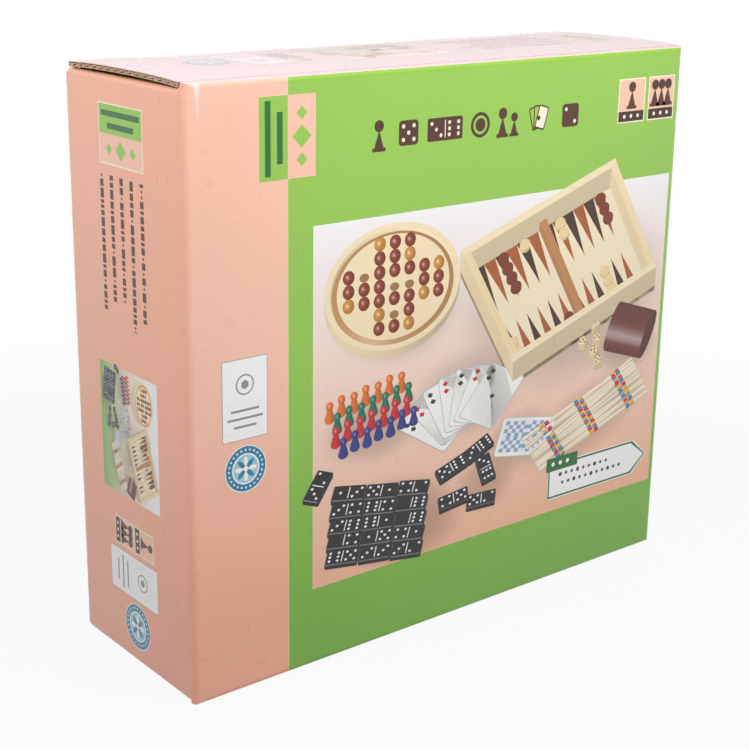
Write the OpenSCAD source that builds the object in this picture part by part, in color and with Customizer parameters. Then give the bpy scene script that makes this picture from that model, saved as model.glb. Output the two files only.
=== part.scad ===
// Games compendium: a printed corrugated carton that stands on its long narrow side and holds a
// pine case with a sliding chessboard lid, chessmen, nine men's morris, pegs, dominoes, dice,
// mikado sticks and cards. Millimetres, +Z up, the printed front faces -Y, and the origin is the
// middle of the face that the carton stands on.

/* [Wooden case] */
// Width of the case, along X
case_w = 310.4; // [300:0.2:360]
// Length of the case along its sliding lid, upright in the carton
case_l = 282.5; // [276:0.5:330]
// Depth of the case from the lid's side to the base
case_d = 94; // [94:1:120]
// Thickness of the pine walls
wall_t = 9; // [8:0.5:11]
// Thickness of the plywood base
base_t = 4; // [3:0.5:6]
// Radius of the case's long edges
case_edge_r = 1.5; // [0.5:0.5:3]

/* [Chessboard lid] */
// Thickness of the lid
lid_t = 6; // [4:0.5:8]
// Depth of the lid's face below the rims of the walls
lid_recess = 3; // [2:0.5:5]
// How far the lid's edges reach into the walls' grooves
groove_d = 4; // [2.5:0.5:5]
// Running gap all round the lid's edges
lid_play = 0.2; // [0.1:0.1:0.5]
// Width of the finger notch
notch_w = 36; // [24:1:60]
// Height of the finger notch along the lid
notch_h = 6; // [4:1:10]
// Depth of the finger notch
notch_d = 2.5; // [1:0.5:3]
// Distance of the notch's middle from the lid's end
notch_edge = 12; // [8:1:20]

/* [Dividers] */
// Thickness of the shelves and partitions
divider_t = 4; // [3:0.5:5]
// Height of the chessmen's row
chess_row_h = 84; // [80:1:90]
// Height of the row with dominoes, cards and morris men
games_row_h = 60; // [58:1:66]
// Height of the row with dice cup and mikado sticks
cup_row_h = 56; // [54:1:62]
// Room that each piece has in its compartment
piece_play = 2; // [1:0.5:3]
// Gap between a divider and the parts that it meets
divider_gap = 0.1; // [0.05:0.05:0.3]
// Gap between loose pieces, and under each pile of them
piece_gap = 0.1; // [0.05:0.05:0.3]

/* [Brads] */
// Shank diameter of the brads in the base
brad_d = 1.4; // [1:0.1:2]
// Head diameter
brad_head_d = 3; // [2.4:0.1:4]
// Head thickness
brad_head_t = 0.8; // [0.5:0.1:1]
// Length of a brad
brad_l = 18; // [14:1:25]

/* [Carton board] */
// Thickness of the corrugated board
board_t = 2.5; // [1.5:0.1:3.5]
// Outer radius of the upright folds and of the lid's front fold
fold_r = 5; // [4:0.5:7]
// Outer radius of the other folds
flap_fold_r = 4; // [3.6:0.2:5]
// Gap left at a crease between two panels
crease_gap = 0.2; // [0.1:0.1:0.4]
// Gap between boards that lie on each other
flap_gap = 0.3; // [0.2:0.1:0.6]

/* [Carton room] */
// Gap between the front panel and the case
front_play = 0.4; // [0.3:0.1:2]
// Room behind the case for the lid's tuck flap
tuck_room = 8.6; // [8.6:0.2:14]
// Gap between the left panel and the case
side_play = 1.6; // [1.6:0.1:3]
// Gap between the glue tab and the case
tab_play = 0.5; // [0.3:0.1:2]
// Gap between the case and the dust flaps above it
top_play = 1.2; // [0.5:0.1:4]

/* [Carton flaps] */
// Length of a dust flap from the side panel's face
dust_flap_l = 85; // [60:1:110]
// Slant of a dust flap's front edge, in degrees
dust_taper = 20; // [19:1:26]
// Distance of a dust flap's root from the front panel's face
dust_start = 6.5; // [6:0.5:10]
// Clear strip behind a dust flap, measured from the back panel's face
dust_back = 11; // [11:0.5:16]
// Corner radius of the dust flaps
dust_corner_r = 10; // [5:1:15]
// Length of the lid's tuck flap below the lid's face
tuck_l = 18; // [14:1:20]
// Corner radius of the tuck flap
tuck_corner_r = 9; // [5:1:9]
// Inset of the tuck flap from the side panels' faces
tuck_inset = 7; // [6:0.5:15]
// Gap between the lid's back edge and the back panel
tuck_clear = 0.4; // [0.3:0.1:0.8]
// Drop of the back panel's raw top edge below the lid's face
back_drop = 1; // [0.5:0.1:2]
// Turn of the tuck flap for each degree that the lid turns
tuck_ratio = 0.33; // [0:0.01:0.33]
// Width of the glue tab
tab_w = 28; // [20:1:40]
// Shortening of the glue tab at each end
tab_end = 14; // [8:1:25]
// Length of the bottom tuck flap
bottom_tuck_l = 7; // [6:0.5:8]

/* [Chessmen] */
// Height of a king
king_h = 72; // [66:1:74]
// Height of a queen
queen_h = 66; // [60:1:72]
// Height of a bishop
bishop_h = 58; // [52:1:66]
// Height of a knight
knight_h = 54; // [50:1:62]
// Height of a rook
rook_h = 46; // [42:1:54]
// Height of a pawn
pawn_h = 42; // [38:1:44]
// Base diameter of kings, queens, bishops, knights and rooks
officer_d = 24.2; // [22:0.1:24.4]
// Base diameter of a pawn
pawn_d = 21; // [18:0.5:24]

/* [Nine men's morris] */
// Gap round the morris board where it lies in the case
morris_play = 7.25; // [1:0.25:15]
// Thickness of the morris board
morris_t = 6; // [4:0.5:6]
// Diameter of the board's point dimples
dimple_d = 5; // [3:0.5:8]
// Depth of the dimples
dimple_h = 1; // [0.5:0.1:2]
// Diameter of a morris man
man_d = 22; // [18:1:26]
// Thickness of a morris man
man_t = 6; // [4:0.5:6.5]

/* [Pegs and sticks] */
// Diameter of a peg's body
peg_d = 8; // [6:0.5:9]
// Length of a peg
peg_l = 26; // [20:1:28]
// Diameter of a peg's foot
peg_foot_d = 4; // [3:0.5:5]
// Length of a peg's foot
peg_foot_l = 8; // [5:1:10]
// Pegs of one colour
peg_count = 6; // [4:1:7]
// Length of a mikado stick
stick_l = 180; // [150:1:190]
// Diameter of a mikado stick
stick_d = 3; // [2.5:0.1:3.2]
// Length of a stick's pointed end
stick_point = 6; // [3:1:10]

/* [Dominoes and dice] */
// Length of a domino
domino_l = 45; // [38:0.5:46]
// Width of a domino
domino_w = 23; // [20:0.5:24]
// Thickness of a domino
domino_t = 7.4; // [6:0.1:7.8]
// Diameter of a domino's pips
domino_pip_d = 3; // [2:0.1:4]
// Width of the bar between a domino's halves
domino_bar_w = 1; // [0.6:0.1:2]
// Distance of the bar's ends from the domino's edges
domino_bar_edge = 2; // [1:0.5:4]
// Depth of pips and of the bar between a domino's halves
pip_h = 0.4; // [0.2:0.1:0.8]
// Side of a die
die_side = 14; // [12:0.5:15]
// Diameter of a die's pips
die_pip_d = 2.4; // [1.5:0.1:3]

/* [Dice cup] */
// Length of the cup
cup_l = 72; // [60:1:76]
// Larger width of the oval cup
cup_w = 60; // [52:1:68]
// Smaller width of the oval cup
cup_h = 48; // [44:1:50]
// Wall of the cup
cup_wall = 3; // [2:0.5:4]

/* [Cards] */
// Length of a card
card_l = 88; // [80:1:90]
// Width of a card
card_w = 58; // [54:1:64]
// Thickness of a card
card_t = 0.29; // [0.26:0.01:0.32]
// Number of cards
card_count = 54; // [52:1:55]
// Corner radius of a card
card_r = 3.5; // [2:0.5:5]

/* [Hidden] */
$fn = 64;
// Overshoot of a cutting shape, so that it leaves no skin
cut = 1;

// Outer size of the carton, wrapped round the case
carton_w = case_w + side_play + tab_play + 3 * board_t;
carton_d = case_d + front_play + tuck_room + 2 * board_t;
carton_h = case_l + top_play + 4 * board_t + flap_gap;
x_side = carton_w / 2;
y_front = -carton_d / 2;
y_back = carton_d / 2;

// The lid, its tuck flap and the dust flaps
lid_back = y_back - board_t - tuck_clear;
flap_top = carton_h - board_t - flap_gap;
lid_reach = lid_back - y_front;
tuck_tilt = asin(pow(1 + tuck_ratio, 2) * tuck_l / (2 * lid_reach)) + 0.5;
tuck_start = flap_fold_r + 0.8;
tuck_w = carton_w - 2 * tuck_inset;

// The case's place in the carton, and the levels inside it
case_x = -x_side + board_t + side_play + case_w / 2;
case_y = y_front + board_t + front_play;
case_z = 2 * board_t;
wall_d = case_d - base_t;
groove_w = lid_t + 2 * lid_play;
lid_y = lid_recess + lid_play;
room_w = case_w - 2 * wall_t;
room_y = lid_recess + groove_w;
morris_y = wall_d - morris_t;
morris_side = min(room_w, case_l - 2 * wall_t) - 2 * morris_play;
divider_d = morris_y - room_y - 2 * divider_gap;
divider_y = room_y + divider_gap;
row_1 = wall_t;
shelf_1 = row_1 + chess_row_h;
row_2 = shelf_1 + divider_t;
shelf_2 = row_2 + games_row_h;
row_3 = shelf_2 + divider_t;
shelf_3 = row_3 + cup_row_h;
row_4 = shelf_3 + divider_t;

// Compartments from the left wall, each as wide as what it holds and its play
room_x = -room_w / 2;
officer_room = max(king_h, queen_h, bishop_h, knight_h, rook_h) + piece_play;
pawn_room = pawn_h + piece_play;
dark_x = room_x;
dark_pawn_x = dark_x + officer_room + divider_t;
light_x = dark_pawn_x + pawn_room + divider_t;
light_pawn_x = light_x + officer_room + divider_t;
domino_x = room_x;
cards_x = domino_x + 2 * (domino_l + piece_gap) + piece_play + divider_t;
men_x = cards_x + card_l + piece_play + divider_t;
cup_x = room_x;
sticks_x = cup_x + cup_l + piece_play + divider_t;
pegs_x = room_x + piece_play;
dice_x = pegs_x + 4 * (peg_l + piece_play) + piece_play;

// The chessmen's three layers across the case
layer = (divider_d - piece_gap) / 3;
layer_y = divider_y + layer / 2;

// Colours of the carton and its games
peach = "#f4bd9f";
green = "#86bc54";
kraft = "#b98d5c";
pine = "#e3c48c";
ply = "#d8b57c";
walnut = "#7a4526";
maple = "#e6cf9d";

// A flat sheet with rounded corners, w wide about x = 0, d deep from y = 0 and h thick
module rounded_slab(w, d, h, r) {
    linear_extrude(h) translate([-w / 2, 0]) {
        translate([r, 0]) square([w - 2 * r, d]);
        translate([0, r]) square([w, d - 2 * r]);
        for (x = [r, w - r], y = [r, d - r]) translate([x, y]) circle(r);
    }
}

// The carton's outline in plan, shrunk by a depth from its outer faces
module carton_plan(depth) {
    r = fold_r - depth;
    w = carton_w - 2 * depth;
    d = carton_d - 2 * depth;
    square([w - 2 * r, d], center = true);
    square([w, d - 2 * r], center = true);
    for (x = [-1, 1], y = [-1, 1]) translate([x * (w / 2 - r), y * (d / 2 - r)]) circle(r);
}

// An upright sleeve of board round the whole carton between two heights
module sleeve(z0, z1) {
    translate([0, 0, z0]) linear_extrude(z1 - z0) difference() {
        carton_plan(0);
        carton_plan(board_t);
    }
}

// A quarter fold of board along X with its outer corner on the X axis; the panel hangs at y = 0
module fold_along_x(length, r) {
    translate([-length / 2, r, -r]) rotate([90, 0, 90]) linear_extrude(length) intersection() {
        difference() {
            circle(r);
            circle(r - board_t);
        }
        translate([-r - cut, 0]) square(r + cut);
    }
}

// A quarter fold of board along Y with its outer corner on the Y axis; the panel hangs at x = 0
module fold_along_y(length, r) {
    translate([r, length / 2, -r]) rotate([90, 0, 0]) linear_extrude(length) intersection() {
        difference() {
            circle(r);
            circle(r - board_t);
        }
        translate([-r - cut, 0]) square(r + cut);
    }
}

module front_panel() {
    color(green) {
        intersection() {
            sleeve(fold_r, carton_h - fold_r);
            translate([-x_side - cut, y_front - cut, 0])
                cube([carton_w + 2 * cut, fold_r + cut, carton_h]);
        }
        intersection() {
            union() {
                translate([0, y_front, carton_h]) fold_along_x(carton_w, fold_r);
                translate([0, y_front, 0]) mirror([0, 0, 1]) fold_along_x(carton_w, fold_r);
            }
            linear_extrude(carton_h) carton_plan(0);
        }
    }
}

module back_panel() {
    top = carton_h - back_drop;
    corner_top = flap_top - flap_fold_r;
    color(green) {
        intersection() {
            sleeve(flap_fold_r, corner_top);
            translate([-x_side - cut, y_back - fold_r, 0])
                cube([carton_w + 2 * cut, fold_r + cut, carton_h]);
        }
        translate([-x_side + fold_r, y_back - board_t, 0])
            cube([carton_w - 2 * fold_r, board_t, top]);
    }
}

// A side panel with its folds to the dust flaps, drawn for the left side
module side_panel() {
    depth = carton_d - 2 * fold_r - 2 * crease_gap;
    bottom = board_t;
    translate([-x_side, -depth / 2, bottom + flap_fold_r])
        cube([board_t, depth, flap_top - bottom - 2 * flap_fold_r]);
    translate([-x_side, 0, flap_top]) fold_along_y(depth, flap_fold_r);
    translate([-x_side, 0, bottom]) mirror([0, 0, 1]) fold_along_y(depth, flap_fold_r);
}

module left_panel() { color(peach) side_panel(); }

module right_panel() { color(green) mirror([1, 0, 0]) side_panel(); }

module glue_tab() {
    y1 = y_back - fold_r - crease_gap;
    z0 = 2 * board_t + flap_fold_r + tab_end;
    z1 = flap_top - flap_fold_r - tab_end;
    color(kraft) translate([x_side - 2 * board_t, y1, z0]) rotate([90, 0, 90])
        linear_extrude(board_t) polygon([[0, 0], [-tab_w, tab_w / 2], [-tab_w, z1 - z0 - tab_w / 2],
            [0, z1 - z0]]);
}

module bottom_panel() {
    y0 = y_front + fold_r + crease_gap;
    color(green) translate([-x_side, y0, 0]) cube([carton_w, lid_back - flap_fold_r - y0, board_t]);
    color(green) translate([0, lid_back, 0]) mirror([0, 1, 0]) mirror([0, 0, 1])
        fold_along_x(carton_w - 2 * tuck_inset, flap_fold_r);
}

module bottom_tuck_flap() {
    color(kraft) translate([-tuck_w / 2, lid_back - board_t, flap_fold_r + crease_gap])
        cube([tuck_w, board_t, bottom_tuck_l]);
}

// A dust flap's outline from its root at x = 0, y measured from the front panel's face
module dust_outline() {
    back = carton_d - dust_back;
    slant = tan(dust_taper);
    root = flap_fold_r + crease_gap;
    r = dust_corner_r;
    front_tip = dust_start + slant * dust_flap_l;
    square_tip = dust_start + slant * (dust_flap_l - r);
    polygon([[root, dust_start + slant * root], [dust_flap_l - r, square_tip],
        [dust_flap_l, front_tip + r], [dust_flap_l, back - r], [dust_flap_l - r, back - r],
        [dust_flap_l - r, back], [root, back]]);
    translate([dust_flap_l - r, back - r]) circle(r);
}

// A dust flap whose upper face lies at a height, drawn for the left side
module dust_flap(top) {
    translate([-x_side, y_front, top - board_t]) linear_extrude(board_t) dust_outline();
}

module bottom_dust_flap_left() { color(kraft) dust_flap(2 * board_t); }

module bottom_dust_flap_right() { color(kraft) mirror([1, 0, 0]) dust_flap(2 * board_t); }

module lid_panel() {
    y0 = y_front + fold_r + crease_gap;
    color(peach) {
        translate([-x_side, y0, carton_h - board_t])
            cube([carton_w, lid_back - flap_fold_r - y0, board_t]);
        translate([0, lid_back, carton_h]) mirror([0, 1, 0]) fold_along_x(tuck_w, flap_fold_r);
    }
}

// The tuck flap hangs from the lid's back edge and leans towards the case
module tuck_flap() {
    r = tuck_corner_r;
    drop = tuck_l - tuck_start;
    color(kraft) translate([0, lid_back, carton_h]) rotate([-tuck_tilt, 0, 0])
        translate([0, 0, -tuck_start]) rotate([90, 0, 0]) linear_extrude(board_t) {
            translate([-tuck_w / 2, -drop + r]) square([tuck_w, drop - r]);
            translate([-tuck_w / 2 + r, -drop]) square([tuck_w - 2 * r, drop]);
            for (x = [-1, 1]) intersection() {
                translate([x * (tuck_w / 2 - r), -drop + r]) circle(r);
                translate([-tuck_w / 2, -drop]) square([tuck_w, drop]);
            }
        }
}

module dust_flap_left() { color(kraft) dust_flap(flap_top); }

module dust_flap_right() { color(kraft) mirror([1, 0, 0]) dust_flap(flap_top); }

// Everything in the case is drawn from the case's own corner: y from the lid's rim to the base
module in_case() { translate([case_x, case_y, case_z]) children(); }

// Places of the brads round the base, in the middle of each wall
module brad_places() {
    x = (case_w - wall_t) / 2;
    z0 = wall_t / 2;
    z1 = case_l - wall_t / 2;
    for (k = [0:4]) for (side = [-1, 1])
        translate([side * x, case_d, z0 + (z1 - z0) * (k + 0.5) / 5]) rotate([90, 0, 0]) children();
    for (k = [0:3]) for (z = [z0, z1])
        translate([-x + 2 * x * (k + 0.5) / 4, case_d, z]) rotate([90, 0, 0]) children();
}

module brad() {
    cylinder(d = brad_head_d, h = brad_head_t);
    cylinder(d = brad_d, h = brad_l);
}

module case_base() {
    color(ply) in_case() difference() {
        rounded_base();
        brad_places() brad();
    }
}

// The base sheet, rounded at its two long outer edges
module rounded_base() {
    r = case_edge_r;
    linear_extrude(case_l) {
        translate([-case_w / 2, wall_d]) square([case_w, base_t - r]);
        translate([-case_w / 2 + r, wall_d]) square([case_w - 2 * r, base_t]);
        for (x = [-1, 1]) translate([x * (case_w / 2 - r), case_d - r]) circle(r);
    }
}

// A side wall with the lid's groove, open at the upper end; drawn for the left side
module case_side() {
    r = case_edge_r;
    difference() {
        linear_extrude(case_l) {
            translate([-case_w / 2, r]) square([wall_t, wall_d - r]);
            translate([-case_w / 2 + r, 0]) square([wall_t - r, wall_d]);
            translate([-case_w / 2 + r, r]) circle(r);
        }
        translate([-case_w / 2 + wall_t - groove_d, lid_recess, wall_t - groove_d])
            cube([groove_d + cut, groove_w, case_l]);
        brad_places() brad();
    }
}

module case_side_left() { color(pine) in_case() case_side(); }

module case_side_right() { color(pine) in_case() mirror([1, 0, 0]) case_side(); }

module case_end_lower() {
    color(pine) in_case() difference() {
        translate([-room_w / 2, 0, 0]) cube([room_w, wall_d, wall_t]);
        translate([-case_w / 2, lid_recess, wall_t - groove_d])
            cube([case_w, groove_w, groove_d + cut]);
        brad_places() brad();
    }
}

module case_end_upper() {
    color(pine) in_case() difference() {
        translate([-room_w / 2, room_y, case_l - wall_t]) cube([room_w, wall_d - room_y, wall_t]);
        brad_places() brad();
    }
}

module chessboard_lid() {
    edge = groove_d - lid_play;
    z0 = wall_t - edge;
    w = room_w + 2 * edge;
    color(maple) in_case() difference() {
        translate([-w / 2, lid_y, z0]) cube([w, lid_t, case_l - z0]);
        finger_notch();
    }
}

// A shallow slot with round ends in the lid's face
module finger_notch() {
    r = notch_h / 2;
    translate([0, lid_y, case_l - notch_edge]) rotate([90, 0, 0])
        linear_extrude(2 * notch_d, center = true) {
            square([notch_w - notch_h, notch_h], center = true);
            for (x = [-1, 1]) translate([x * (notch_w / 2 - r), 0]) circle(r);
        }
}

module shelf(z) {
    translate([-room_w / 2 + divider_gap, divider_y, z])
        cube([room_w - 2 * divider_gap, divider_d, divider_t]);
}

module shelves() {
    color(ply) in_case() for (z = [shelf_1, shelf_2, shelf_3]) shelf(z);
}

// An upright partition to the right of a compartment, standing on its row's floor
module partition(next_x, z, h) {
    translate([next_x - divider_t, divider_y, z]) cube([divider_t, divider_d, h - divider_gap]);
}

module chess_partitions() {
    color(ply) in_case() for (x = [dark_pawn_x, light_x, light_pawn_x])
        partition(x, row_1, chess_row_h);
}

module games_partitions() {
    color(ply) in_case() for (x = [cards_x, men_x]) partition(x, row_2, games_row_h);
}

module cup_partition() { color(ply) in_case() partition(sticks_x, row_3, cup_row_h); }

module base_brads() { color("silver") in_case() brad_places() brad(); }

// Lays a chessman down with its foot at x, in layer 0 to 2 across the case and row 0 to 2 up
module laid(x, across, up, d) {
    pitch = d + piece_gap;
    translate([x, layer_y + across * layer, row_1 + piece_gap + pitch * up + d / 2])
        rotate([0, 90, 0]) children();
}

// The turned profile that the chessmen share: a moulded foot, a waist and a collar. The waist and
// the collar are shares of the foot's radius, and the collar sits at a height.
function stem(r, waist, collar, z) = [[0, 0], [r, 0], [r, 0.25 * r], [0.87 * r, 0.36 * r],
    [0.87 * r, 0.5 * r], [0.67 * r, 0.63 * r], [(waist + 0.1) * r, 0.9 * r], [waist * r, 1.3 * r],
    [waist * r, z - 0.33 * r], [collar * r, z - 0.13 * r], [collar * r, z],
    [(waist + 0.07) * r, z + 0.13 * r]];

// An egg-shaped outline from the collar to the top, fuller below, as a turned head has it
function egg(z0, z1, r, count) = [for (k = [1:count])
    let (a = 30 + 150 * k / count)
    [max(0, r * sin(a) * (1 + 0.18 * cos(a))), z0 + (z1 - z0) * (cos(30) - cos(a)) / (cos(30) + 1)]];

module king() {
    r = officer_d / 2;
    collar = 0.64 * king_h;
    crown = 0.87 * king_h;
    arm = 0.13 * r;
    rotate_extrude() polygon(concat(stem(r, 0.38, 0.66, collar), [[0.45 * r, collar + 0.25 * r],
        [0.64 * r, crown - 0.25 * r], [0.53 * r, crown - 0.08 * r], [0.18 * r, crown], [0, crown]]));
    translate([-arm, -arm, crown - arm]) cube([2 * arm, 2 * arm, king_h - crown + arm]);
    translate([-0.3 * r, -arm, crown + 2 * arm]) cube([0.6 * r, 2 * arm, 2 * arm]);
}

module queen() {
    r = officer_d / 2;
    ball = 0.25 * r;
    collar = 0.64 * queen_h;
    crown = queen_h - 1.3 * ball;
    difference() {
        rotate_extrude() polygon(concat(stem(r, 0.36, 0.63, collar), [[0.4 * r, collar + 0.25 * r],
            [0.68 * r, crown - 0.08 * r], [0.58 * r, crown], [0.25 * r, crown - 0.12 * r],
            [0, crown - 0.12 * r]]));
        for (k = [0:7]) rotate([0, 0, 45 * k]) translate([0.63 * r, 0, crown]) sphere(0.12 * r);
    }
    translate([0, 0, queen_h - ball]) sphere(ball);
}

module bishop() {
    r = officer_d / 2;
    ball = 0.17 * r;
    collar = 0.65 * bishop_h;
    difference() {
        rotate_extrude() polygon(concat(stem(r, 0.34, 0.58, collar),
            egg(collar + 0.13 * r, bishop_h - 1.5 * ball, 0.51 * r, 10)));
        translate([0.12 * r, -r, 0.81 * bishop_h]) rotate([0, 35, 0]) cube([r, 2 * r, 0.1 * r]);
    }
    translate([0, 0, bishop_h - ball]) sphere(ball);
}

// The knight's head is sawn from a board and stands on a turned foot
module knight() {
    r = officer_d / 2;
    foot = 1.24 * r;
    h = knight_h - foot;
    rotate_extrude() polygon([[0, 0], [r, 0], [r, 0.25 * r], [0.87 * r, 0.36 * r],
        [0.87 * r, 0.5 * r], [0.67 * r, 0.63 * r], [0.58 * r, 0.9 * r], [0.69 * r, 1.07 * r],
        [0.69 * r, foot], [0, foot]]);
    outline = [[-0.18, 0], [-0.2, 0.2], [-0.2, 0.46], [-0.13, 0.72], [-0.04, 0.9], [0.02, 1],
        [0.06, 0.87], [0.15, 0.77], [0.26, 0.56], [0.27, 0.46], [0.21, 0.42], [0.11, 0.49],
        [0.04, 0.49], [0.09, 0.36], [0.17, 0.2], [0.18, 0]];
    translate([0, 0, foot]) rotate([90, 0, 0]) linear_extrude(0.74 * r, center = true)
        polygon([for (p = outline) h * p]);
}

module rook() {
    r = officer_d / 2;
    wall = 0.26 * r;
    top = rook_h - r;
    sight = 0.22 * r;
    difference() {
        rotate_extrude() polygon(concat(stem(r, 0.45, 0.66, top), [[0.53 * r, top + 0.25 * r],
            [0.68 * r, top + 0.41 * r], [0.68 * r, rook_h], [0.68 * r - wall, rook_h],
            [0.68 * r - wall, rook_h - 0.33 * r], [0, rook_h - 0.33 * r]]));
        for (k = [0:2]) rotate([0, 0, 60 * k]) translate([-r, -sight / 2, rook_h - sight])
            cube([2 * r, sight, sight + cut]);
    }
}

module pawn() {
    r = pawn_d / 2;
    head = 0.63 * r;
    collar = pawn_h - 2.1 * head;
    rotate_extrude() polygon(concat(stem(r, 0.36, 0.65, collar), [[0, collar + 0.13 * r]]));
    translate([0, 0, pawn_h - head]) sphere(head);
}

// Each side's officers lie three deep and three high, and its pawns in the compartment beside
module king_of(x) { laid(x, 1, 0, officer_d) king(); }

module queen_of(x) { laid(x, 0, 0, officer_d) queen(); }

module bishops_of(x) { for (across = [0, 1]) laid(x, across, 1, officer_d) bishop(); }

module knights_of(x) {
    laid(x, 2, 0, officer_d) rotate([0, 0, 90]) knight();
    laid(x, 2, 1, officer_d) rotate([0, 0, 90]) knight();
}

module rooks_of(x) { for (across = [0, 1]) laid(x, across, 2, officer_d) rook(); }

module pawns_of(x) {
    for (k = [0:7]) laid(x, k % 3, floor(k / 3), pawn_d) pawn();
}

module king_light() { color(maple) in_case() king_of(light_x); }

module queen_light() { color(maple) in_case() queen_of(light_x); }

module bishops_light() { color(maple) in_case() bishops_of(light_x); }

module knights_light() { color(maple) in_case() knights_of(light_x); }

module rooks_light() { color(maple) in_case() rooks_of(light_x); }

module pawns_light() { color(maple) in_case() pawns_of(light_pawn_x); }

module king_dark() { color(walnut) in_case() king_of(dark_x); }

module queen_dark() { color(walnut) in_case() queen_of(dark_x); }

module bishops_dark() { color(walnut) in_case() bishops_of(dark_x); }

module knights_dark() { color(walnut) in_case() knights_of(dark_x); }

module rooks_dark() { color(walnut) in_case() rooks_of(dark_x); }

module pawns_dark() { color(walnut) in_case() pawns_of(dark_pawn_x); }

// The morris board lies on the base, with a dimple at each of its 24 points
module morris_board() {
    ring = morris_side * 0.14;
    color(maple) in_case() difference() {
        translate([-morris_side / 2, morris_y, row_1]) cube([morris_side, morris_t, morris_side]);
        for (k = [1:3], x = [-1:1], z = [-1:1]) if (x != 0 || z != 0)
            translate([x * k * ring, morris_y, row_1 + morris_side / 2 + z * k * ring])
                rotate([-90, 0, 0]) cylinder(d = dimple_d, h = 2 * dimple_h, center = true);
    }
}

// A pile of nine morris men that lies on its side, with softened rims
module men_pile(y) {
    rim = 1;
    for (k = [0:8])
        translate([men_x + piece_gap + k * (man_t + piece_gap), y, row_2 + piece_gap + man_d / 2])
            rotate([0, 90, 0]) rotate_extrude() polygon([[0, 0], [man_d / 2 - rim, 0],
                [man_d / 2, rim], [man_d / 2, man_t - rim], [man_d / 2 - rim, man_t], [0, man_t]]);
}

module morris_men_light() { color(maple) in_case() men_pile(divider_y + divider_d / 4); }

module morris_men_dark() { color(walnut) in_case() men_pile(divider_y + divider_d * 3 / 4); }

// One colour's pegs lie side by side on the upper shelf
module pegs(place) {
    x = pegs_x + place * (peg_l + piece_play);
    for (k = [0:peg_count - 1])
        translate([x, divider_y + (peg_d + piece_gap) * (k + 1), row_4 + piece_gap + peg_d / 2])
            rotate([0, 90, 0]) {
                cylinder(d = peg_foot_d, h = peg_foot_l);
                translate([0, 0, peg_foot_l]) cylinder(d = peg_d, h = peg_l - peg_foot_l);
            }
}

module pegs_orange() { color("orange") in_case() pegs(0); }

module pegs_green() { color("green") in_case() pegs(1); }

module pegs_red() { color("firebrick") in_case() pegs(2); }

module pegs_blue() { color("midnightblue") in_case() pegs(3); }

// Places of the pips of one number on a square of a given pitch
function pips(n, p) = concat(n % 2 == 1 ? [[0, 0]] : [], n > 1 ? [[-p, -p], [p, p]] : [],
    n > 3 ? [[-p, p], [p, -p]] : [], n > 5 ? [[-p, 0], [p, 0]] : []);

// A domino on its back, length along X, with two numbers cut in its face
module domino(a, b) {
    half = domino_l / 4;
    difference() {
        cube([domino_l, domino_w, domino_t]);
        translate([(domino_l - domino_bar_w) / 2, domino_bar_edge, domino_t - pip_h])
            cube([domino_bar_w, domino_w - 2 * domino_bar_edge, pip_h + cut]);
        for (end = [0, 1], p = pips(end == 0 ? a : b, domino_w / 4))
            translate([domino_l / 2 + (2 * end - 1) * half + p[0], domino_w / 2 + p[1],
                domino_t - pip_h]) cylinder(d = domino_pip_d, h = pip_h + cut);
    }
}

// The double-six set, piled two by two and seven high
module dominoes() {
    set = [for (a = [0:6]) for (b = [a:6]) [a, b]];
    color("#222222") in_case() for (k = [0:27])
        translate([domino_x + piece_gap + (k % 2) * (domino_l + piece_gap),
            divider_y + divider_d / 2 - domino_w + (floor(k / 2) % 2) * (domino_w + piece_gap),
            row_2 + piece_gap + floor(k / 4) * (domino_t + piece_gap)])
            domino(set[k][0], set[k][1]);
}

// The sticks lie in layers of eight and seven, each in the hollows of the layer below
module mikado_sticks() {
    pitch = stick_d + piece_gap;
    rise = pitch * sin(60);
    layers = [8, 7, 8, 8];
    shift = [0, 0.5, 0, 0.5];
    color("wheat") in_case() for (row = [0:3]) for (k = [0:layers[row] - 1])
        translate([sticks_x + piece_gap, divider_y + divider_d / 2 + pitch * (k - 4 + shift[row]),
            row_3 + piece_gap + stick_d / 2 + row * rise]) rotate([0, 90, 0]) mikado_stick();
}

module mikado_stick() {
    tip = 0.5;
    rotate_extrude() polygon([[0, 0], [tip, 0], [stick_d / 2, stick_point],
        [stick_d / 2, stick_l - stick_point], [tip, stick_l], [0, stick_l]]);
}

// An oval with straight long sides
module oval(w, h) {
    translate([-(w - h) / 2, 0]) circle(d = h);
    translate([(w - h) / 2, 0]) circle(d = h);
    square([w - h, h], center = true);
}

// The cup lies on its flatter side with its mouth towards the partition
module dice_cup() {
    color("saddlebrown") in_case()
        translate([cup_x + piece_gap, divider_y + divider_d / 2, row_3 + piece_gap + cup_h / 2])
            rotate([90, 0, 90]) difference() {
                linear_extrude(cup_l) oval(cup_w, cup_h);
                translate([0, 0, cup_wall]) linear_extrude(cup_l)
                    oval(cup_w - 2 * cup_wall, cup_h - 2 * cup_wall);
            }
}

// Numbers on a die's six faces, opposite faces adding up to seven
module die_pips(n) {
    for (p = pips(n, die_side / 4)) translate([p[0], p[1], die_side / 2 - pip_h])
        cylinder(d = die_pip_d, h = pip_h + cut);
}

module die() {
    round_by = 1.2;
    difference() {
        intersection() {
            cube(die_side, center = true);
            sphere(die_side * sqrt(3) / 2 - round_by);
        }
        die_pips(1);
        rotate([180, 0, 0]) die_pips(6);
        rotate([90, 0, 0]) die_pips(2);
        rotate([-90, 0, 0]) die_pips(5);
        rotate([0, 90, 0]) die_pips(3);
        rotate([0, -90, 0]) die_pips(4);
    }
}

module wooden_dice() {
    pitch = die_side + piece_gap;
    color(maple) in_case() for (k = [0:4])
        translate([dice_x + die_side / 2 + k * pitch, divider_y + divider_d / 2,
            row_4 + piece_gap + die_side / 2]) rotate([90 * k, 0, 0]) die();
}

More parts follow.
